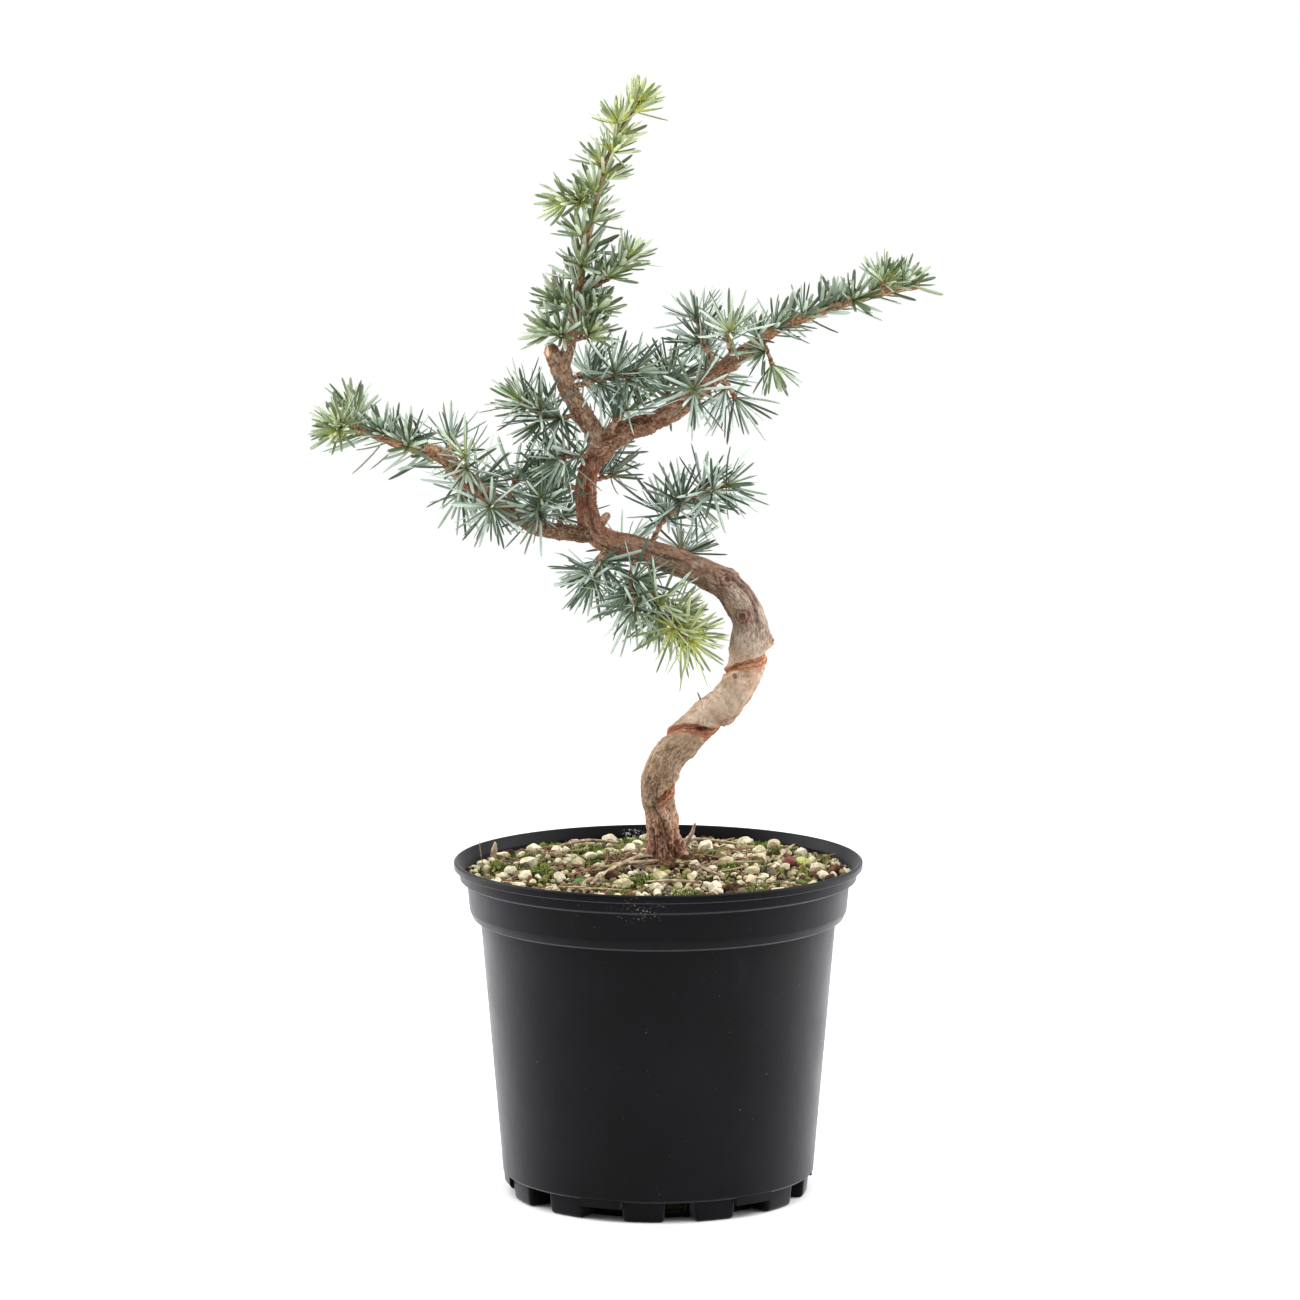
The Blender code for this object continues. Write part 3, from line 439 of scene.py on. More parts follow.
def trunkMaterial():
    look = trunkLook
    coat = Coat("trunkBark", 0.82, 0.25)
    up, rough = coat.wrap()["Y"], coat.attribute("rough")
    wander = coat.times(coat.plus(coat.mottle(70, 3), -0.5), 0.09)
    coat.base = coat.ramp(coat.plus(up, wander), look["paints"])
    aged = coat.plus(coat.times(coat.steps(rough, 0.1, 0.5), 0.40), 0.16)
    calm = coat.steps(rough, 0.34, 0.14)
    coat.patch(160, 5, 0.52, 0.70, aged, (104, 80, 62))
    coat.patch(240, 4, 0.56, 0.74, 0.5, (198, 182, 166), 0.7)
    coat.patch(95, 6, 0.53, 0.64, coat.ramp(up, look["lichen"]), (118, 112, 88))
    coat.patch(120, 5, 0.54, 0.68, coat.ramp(up, look["rust"]), (150, 96, 68), 1.6)
    # the smooth stretch between the scars is cream, with pinkish brown drifts
    coat.patch(75, 5, 0.44, 0.62, coat.times(calm, 0.62), (170, 132, 108), 1.5)
    coat.patch(130, 5, 0.52, 0.66, coat.times(calm, 0.42), (224, 212, 194), (0.8, 0.8, 1.8))
    coat.patch(210, 6, 0.50, 0.60, coat.times(calm, 0.50), (140, 124, 100))
    # the creases get painted shade; the stains and pale patches are the bark's own colours
    for key, strength, colour in (("creaseShade", 0.72, (112, 86, 66)), ("stain", 0.66, (128, 82, 62)),
                                  ("pale", coat.plus(coat.times(rough, 0.35), 0.20), (218, 206, 188))):
        coat.lay(coat.attribute(key), colour, strength)
    worn = coat.plus(coat.times(coat.steps(rough, 0.12, 0.45), 0.46), 0.08)
    coat.patch(560, 7, 0.55, 0.66, worn, (74, 56, 42), 0.6)
    coat.patch(720, 7, 0.56, 0.70, 0.45, (214, 196, 174))
    # painted highlight on the raised bark and painted shade in its hollows
    coat.paintRidgeLightAndHollowShade(0.22)
    # the cracks and clefts are darkened: partly their own dark, partly painted shade in them
    coat.lay(coat.attribute("crack"), (66, 44, 34), 0.62)
    # the scar's strands of wood, darkest in the painted shadow under its upper lip and in its torn hollow
    raw = coat.ramp(coat.attribute("strandAndShadow"), look["strands"])
    raw = coat.blend(coat.times(coat.patches(380, 4, 0.42, 0.66), 0.40), raw, (132, 84, 60))
    coat.lay(coat.steps(coat.attribute("scar"), 0.25, 0.75), raw)
    coat.lay(coat.steps(coat.attribute("lip"), 0.55, 0.95), (196, 158, 130), 0.40)
    coat.lay(coat.steps(coat.attribute("knot"), 0.2, 0.8), (92, 58, 46), 0.80)
    fine = coat.plus(coat.mottle(900, 5, 0.45), coat.times(coat.mottle(2600, 3), 0.4))
    return coat.finish(coat.times(fine, coat.plus(coat.times(rough, 0.55), 0.34)), look["grain"])


boughLook = {
    "sides": 80, "step": 0.48, "collar": 0.30, "collarReach": 5,
    # colours of the old bark, its red flakes and its pale patches
    "paints": {
        "leader": [(172, 140, 114), (142, 100, 76), (206, 176, 150)],
        "right_bough": [(150, 110, 84), (124, 78, 56), (184, 146, 116)],
        "left_bough": [(134, 100, 74), (110, 74, 52), (170, 136, 108)]},
    "young": (182, 136, 98), "youngDark": (128, 88, 58),
    # stubs of cut side boughs: bough they are drawn with, limb, place along it, way, radius and length in mm
    "stubs": [
        ("leader", "trunk", 0.83, (1, -0.1, 1.3), 2.1, 11),
        ("leader", "leader", 0.19, (-0.41, -0.12, 1), 4.1, 22.5),
        ("leader", "trunk", 0.3054, (-0.36, -0.05, 1), 0.55, 13)],
    # a stub's sides, rings, bark and how much of it is its rounded shoulder
    "stubSides": 40, "stubRings": 34, "stubSeed": 61, "shoulder": 0.28,
    # further along than any limb reaches, for bark that is old all the way
    "neverYoung": 400,
}


# Bark of a bough: lumpy and scaly where it is old, finely ridged on the young shoot.
def boughRelief(seed, youngFrom):
    def relief(turn, along, radius):
        size = np.maximum(radius, 0.6)
        plates, fibres, flakes, lumps = clouds(ringOf(turn, along, size) + seed, (0.50, 0.36, 0, 4),
                                               (0.85, 0.30, 17, 3), (1.7, 1.2, 29, 3), (0.18, 0.14, 5, 2))
        crack = ridge(fibres, 6.5)
        old = 1 - ease(youngFrom - 8, youngFrom + 8, along)
        lift = size * (0.09 + 0.10 * old) * plates + 0.20 * size * lumps - crack * (0.08 + 0.36 * old)
        ridges = (1 - old) * 0.09 * size * np.cos(8 * turn + along * 0.9)
        lift += old * 0.34 * flakes * np.minimum(1, size / 2.5) + ridges
        return lift, {"crack": crack * (0.35 + 0.65 * old), "young": 1 - old, "cut": turn * 0,
                      "high": unit(0.5 + 0.8 * flakes + 0.5 * plates)}
    return relief


def boughMaterial(name, body, red, pale):
    coat = Coat(name, 0.85, 0.22)
    coat.base = coat.blend(coat.patches(150, 5, 0.42, 0.64), body, red)
    coat.patch(330, 4, 0.56, 0.70, 0.55, pale)
    shoot = coat.blend(coat.patches(420, 4, 0.40, 0.60), boughLook["youngDark"], boughLook["young"])
    coat.lay(coat.attribute("young"), shoot)
    # painted highlight on the raised bark and painted shade in its hollows
    coat.paintRidgeLightAndHollowShade(0.26)
    # the cracks are darkened: partly their own dark, partly painted shade in them
    coat.lay(coat.attribute("crack"), (50, 34, 27), 0.7)
    coat.patch(760, 7, 0.55, 0.68, 0.45, (70, 48, 36))
    coat.patch(900, 7, 0.56, 0.70, 0.45, (206, 176, 148))
    wound = coat.ramp(coat.mottle(600, 4), [(0.35, (190, 146, 112)), (0.65, (226, 192, 158))])
    coat.lay(coat.steps(coat.attribute("cut"), 0.4, 0.7), wound)
    return coat.finish((1300, 5), 0.35)


def joinParts(name, parts):
    bm = bmesh.new()
    for part in parts:
        bm.from_mesh(part.data)
        bpy.data.objects.remove(part)
    return meshPiece(name, bm)


# A stub ends in a rounded shoulder, with an oval cut on its front whose wood is paler than the bark.
def stubTube(name, centre, way, radius, length):
    look = boughLook
    steps = np.linspace(0, 1, look["stubRings"])
    shoulder = np.sqrt(np.clip(1 - unit((steps - 1 + look["shoulder"]) / look["shoulder"]) ** 2, 0.03, 1))
    line = np.array([(*(centre + way * length * mm * t), radius * mm * (1 - 0.06 * t) * r)
                     for t, r in zip(steps, shoulder)])
    bark = boughRelief(look["stubSeed"], look["neverYoung"])

    def relief(turn, along, size):
        lift, marks = bark(turn, along, size)
        if radius < 1:
            return lift, marks
        away = np.hypot(frontward(turn + 0.85) * radius / 2.3, (along - along.max() + 2.6) / 2.7)
        marks["cut"] = face = hump(away, 4)
        return lift * (1 - face) - 0.55 * face + 0.3 * hump((away - 1.1) / 0.2) * (size > 0.6), marks
    return rollTube(name, line, look["stubSides"], relief)


def makeWood():
    look = trunkLook
    line = smoothLine(woodLines["trunk"], look["step"] * mm)
    trunk = rollTube("trunkBark", line, look["sides"], trunkRelief)
    keepPiece(trunk, "old_bark", ["trunk_base", "trunk_bend", "trunk_top"], [trunkMaterial()])
    look = boughLook
    lines = {name: smoothLine(waypoints, look["step"] * mm) for name, waypoints in woodLines.items()}
    for seed, name in enumerate(shootStarts):
        line = lines[name].copy()
        along = distances(line) / mm
        line[:, 3] *= 1 + look["collar"] * np.exp(-along / look["collarReach"])
        line[-3:, 3] *= (0.95, 0.8, 0.45)
        relief = boughRelief(seed * 40, shootStarts[name] * along[-1])
        parts = [rollTube(name + "Whole", line, look["sides"], relief)]
        for owner, limb, place, way, radius, length in look["stubs"]:
            if owner == name:
                centre = placeOn(lines[limb], place)[0]
                parts.append(stubTube(limb + "Stub", centre, Vector(way).normalized(), radius, length))
        bough = joinParts(name + "Bark", parts)
        keepPiece(bough, "young_bark", [name], [boughMaterial(name + "Bark", *look["paints"][name])])
    print("wood made")


makeWood()


# Needles. The rows say where each spray springs from its limb, in millimetres, as the solids do:
# name, place along the limb, reach of the stem's tip, rosettes, needle length, tint.
sprayRows = {
    "trunk": [
        ("arch_right", 0.725, (35, -20, 34), 4, 21, "blue"), ("arch_low", 0.68, (3, 16, 4), 1, 20, "blue"),
        ("arch_back", 0.775, (-1, 21, -3), 1, 20, "blue"),
        ("hang_left", 0.80, (-7, -21, -15), 1, 21, "blue"),
        ("hang_mid", 0.745, (-2, -29, -23), 1, 22, "blue"),
        ("hang_low", 0.71, (15, -31, -35), 4, 22, "green"), ("top_right", 0.925, (11, 7, 1), 1, 21, "blue"),
        ("top_left", 0.905, (-18, 13, 4), 2, 20, "blue"),
        ("fork_left", 0.965, (-17, -13, 1), 2, 22, "blue"), ("fork_back", 0.96, (2, 23, 6), 1, 22, "blue")],
    "leader": [
        ("leader_left", 0.12, (-27, -8, 5), 3, 21, "soft"),
        ("leader_right", 0.19, (31, -14, 9), 3, 20.5, "blue"),
        ("leader_back", 0.20, (8, 21, 4), 1, 21, "blue")],
    "right_bough": [
        ("fork_right", 0.07, (5, -15, 13), 1, 22, "blue"), ("right_base", 0.24, (-2, 9, 16), 2, 22, "blue"),
        ("right_front", 0.33, (-2, -18, 2), 1, 22, "blue"), ("right_back", 0.35, (2, 21, 5), 1, 21, "blue"),
        ("right_down", 0.40, (8, 7, -12), 1, 22, "blue"), ("right_left", 0.41, (-11, 3, 24), 2, 19, "blue"),
        ("right_up", 0.47, (-4, -12, 13), 1, 20, "soft")],
    "left_bough": [
        ("left_root", 0.12, (-4, 15, 9), 1, 20, "blue"), ("left_base", 0.24, (5, -13, 13), 2, 21, "blue"),
        ("left_mid", 0.34, (4, 9, 12), 1, 21, "blue"), ("left_front", 0.40, (0, -16, -1), 1, 20, "blue"),
        ("left_back", 0.46, (0, 19, 1), 1, 21, "blue"), ("left_down", 0.50, (-4, 11, -6), 1, 20, "blue"),
        ("left_up", 0.55, (3, -10, 8), 1, 20, "soft"), ("left_rise", 0.61, (1, 7, 8), 1, 20, "blue")],
}
# Shoots that carry a bough on to its tip: bough, rosettes, needle length and breadth, youth at root and tip,
# and side twigs, each told as its place along the shoot, reach and rosettes.
shootRows = {
    "leader_tip_needles": ("leader", 9, 15, 1.42, (0.26, 0.95), [
        (0, (8, -7, 2), 1), (0, (-9, -4, 3), 1), (0.07, (10, -4, 5), 1), (0.10, (-7, 6, 6), 1),
        (0.21, (22, -5, 13), 2), (0.55, (-12, -5, 2), 1)]),
    "right_tip_needles": ("right_bough", 6, 15.5, 1.30, (0.10, 0.40), [
        (0.80, (1, -5, 5), 1), (0.10, (5, -4, -11), 1)]),
    "left_tip_needles": ("left_bough", 4, 15.5, 1.22, (0.05, 0.42), [
        (0.95, (-1, -9, 0), 1), (0.30, (1, -8, 1), 1), (0.8, (-3, 8, 9), 1)]),
}
foliageLook = {
    "perRosette": 21, "lengthShare": 0.99, "width": 1.32, "thickness": 0.66, "lineStep": 2,
    "stations": [(0, 0.50), (0.10, 0.78), (0.35, 0.97), (0.72, 1), (0.90, 0.80), (0.97, 0.46), (1, 0.002)],
    "stemRadius": 1.15, "clearOfWood": 0.45, "boxMargin": 0.3, "sprayGap": 2.8, "shootGap": 3.8,
    # how far needles lean from a rosette's axis, in degrees: at a twig's end, along it, and on a shoot
    "spread": {"end": 82, "side": 66, "shoot": 60},
    # stretches of limb that show in front: few needles cross them
    "openings": [
        ("trunk", 0, 0.60), ("trunk", 0.80, 1), ("leader", 0, 0.27), ("right_bough", 0, 0.25),
        ("left_bough", 0, 0.17), ("left_bough", 0.64, 0.84)],
    "crossing": 0.10, "shootExtra": 1, "cutShoot": "right_tip_needles",
    # how much a rosette is new growth: at the root and the tip of what carries it
    "youth": {"blue": (0, 0.08), "soft": (0.05, 0.24), "green": (0.10, 1)}, "youthCurve": 2.2,
    # long single needles under a bough: mass they belong to, bough, stretch of it, length, gap
    "long": [
        ("left_tip_needles", "left_bough", 0.62, 0.94, 20, 3),
        ("left_mid_needles", "left_bough", 0.40, 0.62, 18, 4)],
    # light and dark, and newLight and newDark, colour the two halves of each needle: partly its pale bloom,
    # partly painted light and shade
    "paints": {
        "light": (182, 200, 190), "dark": (67, 86, 73), "newLight": (196, 205, 156),
        "newDark": (128, 144, 98), "heart": (112, 112, 66), "newHeart": (216, 220, 112),
        "tip": (170, 158, 122), "olive": (98, 112, 72)},
    # pieces of foliage, each for the masses of its own part of the crown
    "parts": [
        ("archNeedles", "green_needles", ("arch_", "hang_")),
        ("forkNeedles", "blue_needles", ("top_", "fork_")), ("leaderNeedles", "new_needles", ("leader_",)),
        ("rightNeedles", "green_needles", ("right_",)), ("leftNeedles", "blue_needles", ("left_",))],
    "twigSides": 12, "twigStep": 0.5, "spurSides": 9, "spurRadius": 1.25, "spurRings": 8,
}


# A twig leaves its limb squarely, and bends to its tip.
def twigFrom(line, along, reach, sunk):
    centre, radius, heading = placeOn(line, along)
    reach = Vector(reach) * mm
    leave = (reach - heading * reach.dot(heading)).normalized()
    root, tip = centre + leave * radius * sunk, centre + reach
    knee = root + leave * (tip - root).length * 0.45
    return [root * (1 - t) ** 2 + knee * 2 * t * (1 - t) + tip * t ** 2 for t in [k / 8 for k in range(9)]]


def pointOn(points, share):
    place = share * (len(points) - 1)
    index = min(int(place), len(points) - 2)
    return points[index].lerp(points[index + 1], place - index)


def headingOn(points, share, reach):
    return (pointOn(points, min(1, share + reach)) - pointOn(points, share - reach)).normalized()


def ageAt(youth, share):
    return youth[0] + (youth[1] - youth[0]) * share ** foliageLook["youthCurve"]


def sideways(axis, angle):
    return Matrix.Rotation(angle, 3, axis) @ axis.orthogonal().normalized()


def leaning(axis, out, lean):
    return (axis * math.cos(lean) + out * math.sin(lean)).normalized()


# Rosettes sit along a stem by the golden angle, and the last one closes its tip.
def placeRosettes(name, points, count, length, first, youth, rng, shoot=False, crowd=1):
    spread = foliageLook["spread"]
    rosettes = []
    for k in range(count):
        part = ((k + 1) / count) ** crowd
        share = first + (1 - first) * part
        centre, ahead = pointOn(points, share), headingOn(points, share, 0.05)
        size, age = length * rng.uniform(0.92, 1.06), ageAt(youth, part)
        if k < count - 1:
            out = sideways(ahead, goldenTurn * k + 0.7)
            if shoot:
                # the shoot's spurs turn up to the light
                out = Vector((out.x, out.y, abs(out.z) + 0.25)).normalized()
            axis = (out + ahead * (0.85 if shoot else 0.55)).normalized()
            row = [centre + out * 2 * mm, axis, size, age, centre, spread["shoot" if shoot else "side"]]
        else:
            row = [centre, ahead, size, age, centre - ahead * 2.5 * mm, spread["shoot" if shoot else "end"]]
        rosettes.append([name, *row])
    return rosettes


def planFoliage(lines):
    stems, rosettes, singles = [], [], []
    look = foliageLook
    thick = look["stemRadius"]
    for limb, rows in sprayRows.items():
        for name, along, reach, spurs, length, tint in rows:
            name += "_needles"
            rng = random.Random(name)
            points = twigFrom(lines[limb], along, reach, 0.7)
            stems.append((points, thick * 1.15, thick * 0.75))
            size, youth = length * mm * look["lengthShare"], look["youth"][tint]
            hanging = name.startswith("hang_")
            first, crowd = 0.20 if spurs > 1 else 0.10, 0.6 if tint == "green" else 1
            number = spurs * 2 + 2 * hanging
            rosettes += placeRosettes(name, points, number, size, first, youth, rng, crowd=crowd)
            if spurs > 1 or hanging:
                singles.append((name, points, 0.02 if hanging else 0.35, size * 0.85, youth,
                                look["sprayGap"] * (0.55 if hanging else 1)))
    for name, (limb, spurs, length, _, youth, twigs) in shootRows.items():
        rng = random.Random(name)
        line = stretchOf(lines[limb], shootStarts[limb], 1)
        points = [Vector(p[:3]) for p in line]
        size = length * mm * look["lengthShare"]
        rosettes += placeRosettes(name, points, spurs * 2 - 1, size, 0, youth, rng, True)
        if name == look["cutShoot"]:
            # this shoot was pruned: its bare end shows
            rosettes.pop()
        singles.append((name, points, 0.04, size * 1.12, youth, look["shootGap"]))
        for along, reach, sideSpurs in twigs:
            side, age = twigFrom(line, along, reach, 0), ageAt(youth, along)
            stems.append((side, thick, thick * 0.7))
            rosettes += placeRosettes(name, side, sideSpurs * 2, size, 0.15, (age, age + 0.15), rng, True)
    return stems, rosettes, singles


# A needle's broad side faces its rosette's axis, give or take a twist.
def broadSide(way, axis, rng):
    wide = way.cross(axis)
    wide = wide.normalized() if wide.length > 0.05 else way.orthogonal().normalized()
    return Matrix.Rotation(rng.gauss(0, 0.45), 3, way) @ wide


# Grows needles one by one, shortened or left out where they would run into wood or past the solids' box.
class Needles:
    def __init__(self, lines):
        self.rows = []
        self.lines = lines
        wood = np.concatenate([line[::2] for line in lines.values()])
        self.woodAt, self.woodThick = wood[:, :3], wood[:, 3]
        shown = np.concatenate([stretchOf(lines[limb], *ends) for limb, *ends in foliageLook["openings"]])
        self.shownAt, self.shownThick = shown[:, :3], shown[:, 3]
        self.low = np.array(solidBox[0]) + foliageLook["boxMargin"] * mm
        self.high = np.array(solidBox[1]) - foliageLook["boxMargin"] * mm
        self.rng = random.Random("needles")

    def clear(self, root, tip):
        line = np.array([root.lerp(tip, share) for share in (0.25, 0.4, 0.55, 0.7, 0.85, 1)])
        bark = np.linalg.norm(line[2:, None] - self.woodAt[None], axis=2) - self.woodThick[None]
        inside = (line > self.low).all() and (line < self.high).all()
        if not inside or (bark < foliageLook["clearOfWood"] * mm).any():
            return False
        x, y, z = (line[:, None, k] - self.shownAt[None, :, k] for k in range(3))
        crossing = (np.hypot(x, z) < self.shownThick[None] * 1.05) & (y < 0)
        return not crossing.any() or self.rng.random() < foliageLook["crossing"]

    def add(self, owner, root, way, length, curl, wide, youth):
        for share in (1, 0.85, 0.7):
            if self.clear(root, root + way * length * share + curl * length * share):
                broad = shootRows[owner][3] if owner in shootRows else 1
                self.rows.append((owner, root, way, length * share, curl, wide * self.rng.choice((1, -1)),
                                  broad * self.rng.uniform(0.88, 1.12), youth, self.rng.random()))
                return

    def growRosette(self, owner, centre, axis, length, youth, _, spread):
        rng = self.rng
        count = foliageLook["perRosette"] + rng.randint(-3, 4)
        if owner in shootRows:
            count += foliageLook["shootExtra"]
        around = axis.orthogonal().normalized()
        across = axis.cross(around)
        for k in range(count):
            share = (k + 0.5) / count
            lean = math.radians(7 + spread * share ** 0.72 + rng.gauss(0, 4.5))
            turn = k * goldenTurn + rng.gauss(0, 0.18)
            way = leaning(axis, around * math.cos(turn) + across * math.sin(turn), lean)
            size = length * (0.66 + 0.34 * min(1, share * 2.4)) * rng.uniform(0.84, 1.08)
            drift = Vector([rng.gauss(0, 0.03) for _ in range(3)])
            curl = (axis - way * axis.dot(way)) * rng.uniform(0.03, 0.20) + drift
            inner = 0.22 * max(0, 1 - share * 3) + 0.35 * youth * max(0, 1 - share * 1.6)
            self.add(owner, centre + way * 0.7 * mm, way, size, curl, broadSide(way, axis, rng),
                     min(1, youth + inner))

    # a long shoot also carries single needles between its rosettes
    def growSingles(self, owner, points, first, length, youth, gap):
        rng = self.rng
        reach = sum((b - a).length for a, b in zip(points, points[1:]))
        count = int(reach * (1 - first) / (gap * mm))
        for k in range(count):
            share = first + (1 - first) * (k + 0.5) / count
            ahead = headingOn(points, share, 0.03)
            out = sideways(ahead, goldenTurn * k + rng.gauss(0, 0.2))
            way = leaning(ahead, out, math.radians(rng.uniform(34, 68)))
            curl = (ahead - way * ahead.dot(way)) * rng.uniform(0.05, 0.26)
            size = length * rng.uniform(0.75, 1.08)
            root = pointOn(points, share) + out * 0.8 * mm
            age = min(1, ageAt(youth, share) * 0.6)
            self.add(owner, root, way, size, curl, broadSide(way, ahead, rng), age)

    # under the left bough hang long needles that lean towards its tip
    def growLong(self, owner, limb, start, end, length, gap):
        rng = self.rng
        line = stretchOf(self.lines[limb], start, end)
        count = int(float(distances(line)[-1]) / (gap * mm))
        for k in range(count):
            centre, radius, heading = placeOn(line, (k + 0.5) / count)
            out = sideways(heading, rng.uniform(0, fullTurn))
            if out.z > -0.15:
                out = -out
            way = leaning(heading, out, math.radians(rng.uniform(38, 76)))
            curl = heading * rng.uniform(0.02, 0.14)
            size = length * mm * rng.uniform(0.8, 1.05)
            root = centre + out * (radius + 0.3 * mm)
            self.add(owner, root, way, size, curl, broadSide(way, heading, rng), rng.uniform(0, 0.2))


# The corners and faces of a small shape that is copied many times.
def takeShape(bm):
    bm.verts.index_update()
    spots = np.array([vert.co[:] for vert in bm.verts])
    faces = [[vert.index for vert in face.verts] for face in bm.faces]
    bm.free()
    return spots, faces


# One needle: a square rod drawn out along its length, thinned at both ends and brought to a point.
def needleShape():
    (_, width), *stations = foliageLook["stations"]
    bm = bmesh.new()
    bmesh.ops.create_circle(bm, cap_ends=True, segments=4, radius=0.5 * width)
    bmesh.ops.reverse_faces(bm, faces=bm.faces)
    rim = list(bm.edges)
    for height, nextWidth in stations:
        made = bmesh.ops.extrude_edge_only(bm, edges=rim)["geom"]
        verts = [part for part in made if isinstance(part, bmesh.types.BMVert)]
        rim = [part for part in made if isinstance(part, bmesh.types.BMEdge)]
        rise = height - verts[0].co.z
        bmesh.ops.scale(bm, vec=(nextWidth / width, nextWidth / width, 1), verts=verts)
        bmesh.ops.translate(bm, vec=(0, 0, rise), verts=verts)
        width = nextWidth
    bmesh.ops.remove_doubles(bm, verts=bm.verts, dist=0.01)
    bmesh.ops.recalc_face_normals(bm, faces=bm.faces)
    # the first number of the wrap says which side a face is on, the second how far up a corner is
    wraps = []
    for face in bm.faces:
        middle = face.calc_center_median()
        side = (math.atan2(middle.y, middle.x) / fullTurn) % 1
        wraps += [(side, vert.co.z) for vert in face.verts]
    return *takeShape(bm), np.array(wraps)


def needlePiece(name, rows, material, slotName, nodes):
    spots, faces, wraps = needleShape()
    _, root, way, length, curl, wide, width, youth, shade = zip(*rows)
    root, way, curl, wide = (np.array([v[:] for v in column]) for column in (root, way, curl, wide))
    length, width = np.array(length), np.array(width) * mm
    thick = np.cross(way, wide)
    x, y, z = (spots[None, :, k:k + 1] for k in range(3))
    across = (wide * (width * foliageLook["width"])[:, None])[:, None] * x
    through = (thick * (width * foliageLook["thickness"])[:, None])[:, None] * y
    ahead = (way * length[:, None])[:, None] * z
    bent = (curl * length[:, None])[:, None] * z ** 2
    every = (root[:, None] + across + through + ahead + bent).reshape(-1, 3)
    step = len(spots)
    allFaces = [[index + k * step for index in face] for k in range(len(rows)) for face in faces]
    mesh = bpy.data.meshes.new(name)
    mesh.from_pydata(every.tolist(), [], allFaces)
    mesh.uv_layers.new(name="wrap").data.foreach_set("uv", np.tile(wraps, (len(rows), 1)).ravel())
    for key, values in (("youth", youth), ("shade", shade)):
        mesh.attributes.new(key, "FLOAT", "POINT").data.foreach_set("value", np.repeat(values, step))
    keepPiece(linked(name, mesh), slotName, nodes, [material], smooth=False)


def needleMaterial(name, tones):
    coat = Coat(name, 0.45, 0.38)
    wrap = coat.wrap()
    along, lit = wrap["Y"], coat.steps(wrap["X"], 0.52, 0.48)
    youth, shade = coat.attribute("youth"), coat.attribute("shade")
    # one half of each needle takes the light colour and the other the dark: partly its pale bloom, partly
    # painted light and shade of its two sides
    coat.base = coat.blend(lit, tones["dark"], tones["light"])
    coat.lay(coat.steps(shade, 0.60, 1), tones["olive"], 0.55)
    coat.lay(youth, coat.blend(lit, tones["newDark"], tones["newLight"]))
    coat.lay(coat.steps(along, 0.26, 0), tones["heart"], 0.75)
    fresh = coat.times(coat.steps(along, 0.75, 0.05), coat.steps(youth, 0.05, 0.9))
    coat.lay(fresh, tones["newHeart"], 0.85)
    coat.lay(coat.steps(along, 0.92, 1), tones["tip"], 0.7)
    # each needle has a brightness of its own, and faint streaks
    bright = coat.plus(coat.times(shade, -0.48), 1.16)
    dim = coat.times(bright, coat.plus(coat.times(coat.mottle(300, 2), 0.26), 0.87))
    coat.base = coat.blend(1, coat.base, coat.node("CombineColor", {0: dim, 1: dim, 2: dim})[0], "MULTIPLY")
    return coat.finish()


def makeTwigs(stems, rosettes):
    look = foliageLook
    parts = []

    def relief(turn, along, radius):
        bumps, knobs = clouds(ringOf(turn, along, 1.3), (0.7, 0.55, 7, 3), (0.30, 0.36, 19, 2))
        lift = radius * (0.34 * bumps + 0.45 * knobs + 0.09 * np.cos(along * 3.1 + 2 * knobs))
        return lift, {"high": unit(0.5 + 0.9 * bumps)}

    for k, (points, first, last) in enumerate(stems):
        radii = np.linspace(first, last, len(points)) * mm
        waypoints = [tuple(np.array((*p, radius)) / mm) for p, radius in zip(points, radii)]
        line = smoothLine(waypoints, look["twigStep"] * mm)
        line[-2:, 3] *= (0.8, 0.4)
        parts.append(rollTube(f"twig{k}", line, look["twigSides"], relief))
    last = look["spurRings"] - 1
    for k, (_, centre, axis, _, _, foot, _) in enumerate(rosettes):
        # the spur is a short ringed barrel that the rosette opens from
        rings = []
        for j in range(last + 1):
            t = j / last
            thick = look["spurRadius"] * (0.85 + 0.3 * t) * (1 + 0.16 * math.cos(j * math.pi))
            middle = foot + (centre + axis * 0.6 * mm - foot) * t
            rings.append((*(middle / mm), thick * (0.55 if j == last else 1)))
        parts.append(rollTube(f"spur{k}", np.array(rings) * mm, look["spurSides"], relief))
    coat = rampCoat("twigBark", 0.8, 0.2, 520, 4, (0.32, (88, 62, 44)), (0.50, (136, 100, 70)),
                    (0.68, (172, 138, 104)))
    # painted highlight on the raised bark and painted shade in its hollows
    coat.paintRidgeLightAndHollowShade(0.35)
    keepPiece(joinParts("twigsAndSpurs", parts), "young_bark", [], [coat.finish((1500, 4), 0.25)])
    print("twigs made:", len(stems), "stems and", len(rosettes), "spurs")


def makeFoliage():
    look = foliageLook
    lines = {name: smoothLine(waypoints, look["lineStep"] * mm) for name, waypoints in woodLines.items()}
    stems, rosettes, singles = planFoliage(lines)
    makeTwigs(stems, rosettes)
    needles = Needles(lines)
    for row in rosettes:
        needles.growRosette(*row)
    for row in singles:
        needles.growSingles(*row)
    for row in look["long"]:
        needles.growLong(*row)
    masses = [*(row[0] + "_needles" for rows in sprayRows.values() for row in rows), *shootRows]
    material = needleMaterial("cedarNeedle", look["paints"])
    for name, slotName, starts in look["parts"]:
        rows = [row for row in needles.rows if row[0].startswith(starts)]
        needlePiece(name, rows, material, slotName, [mass for mass in masses if mass.startswith(starts)])
        print(name, len(rows), "needles")


makeFoliage()


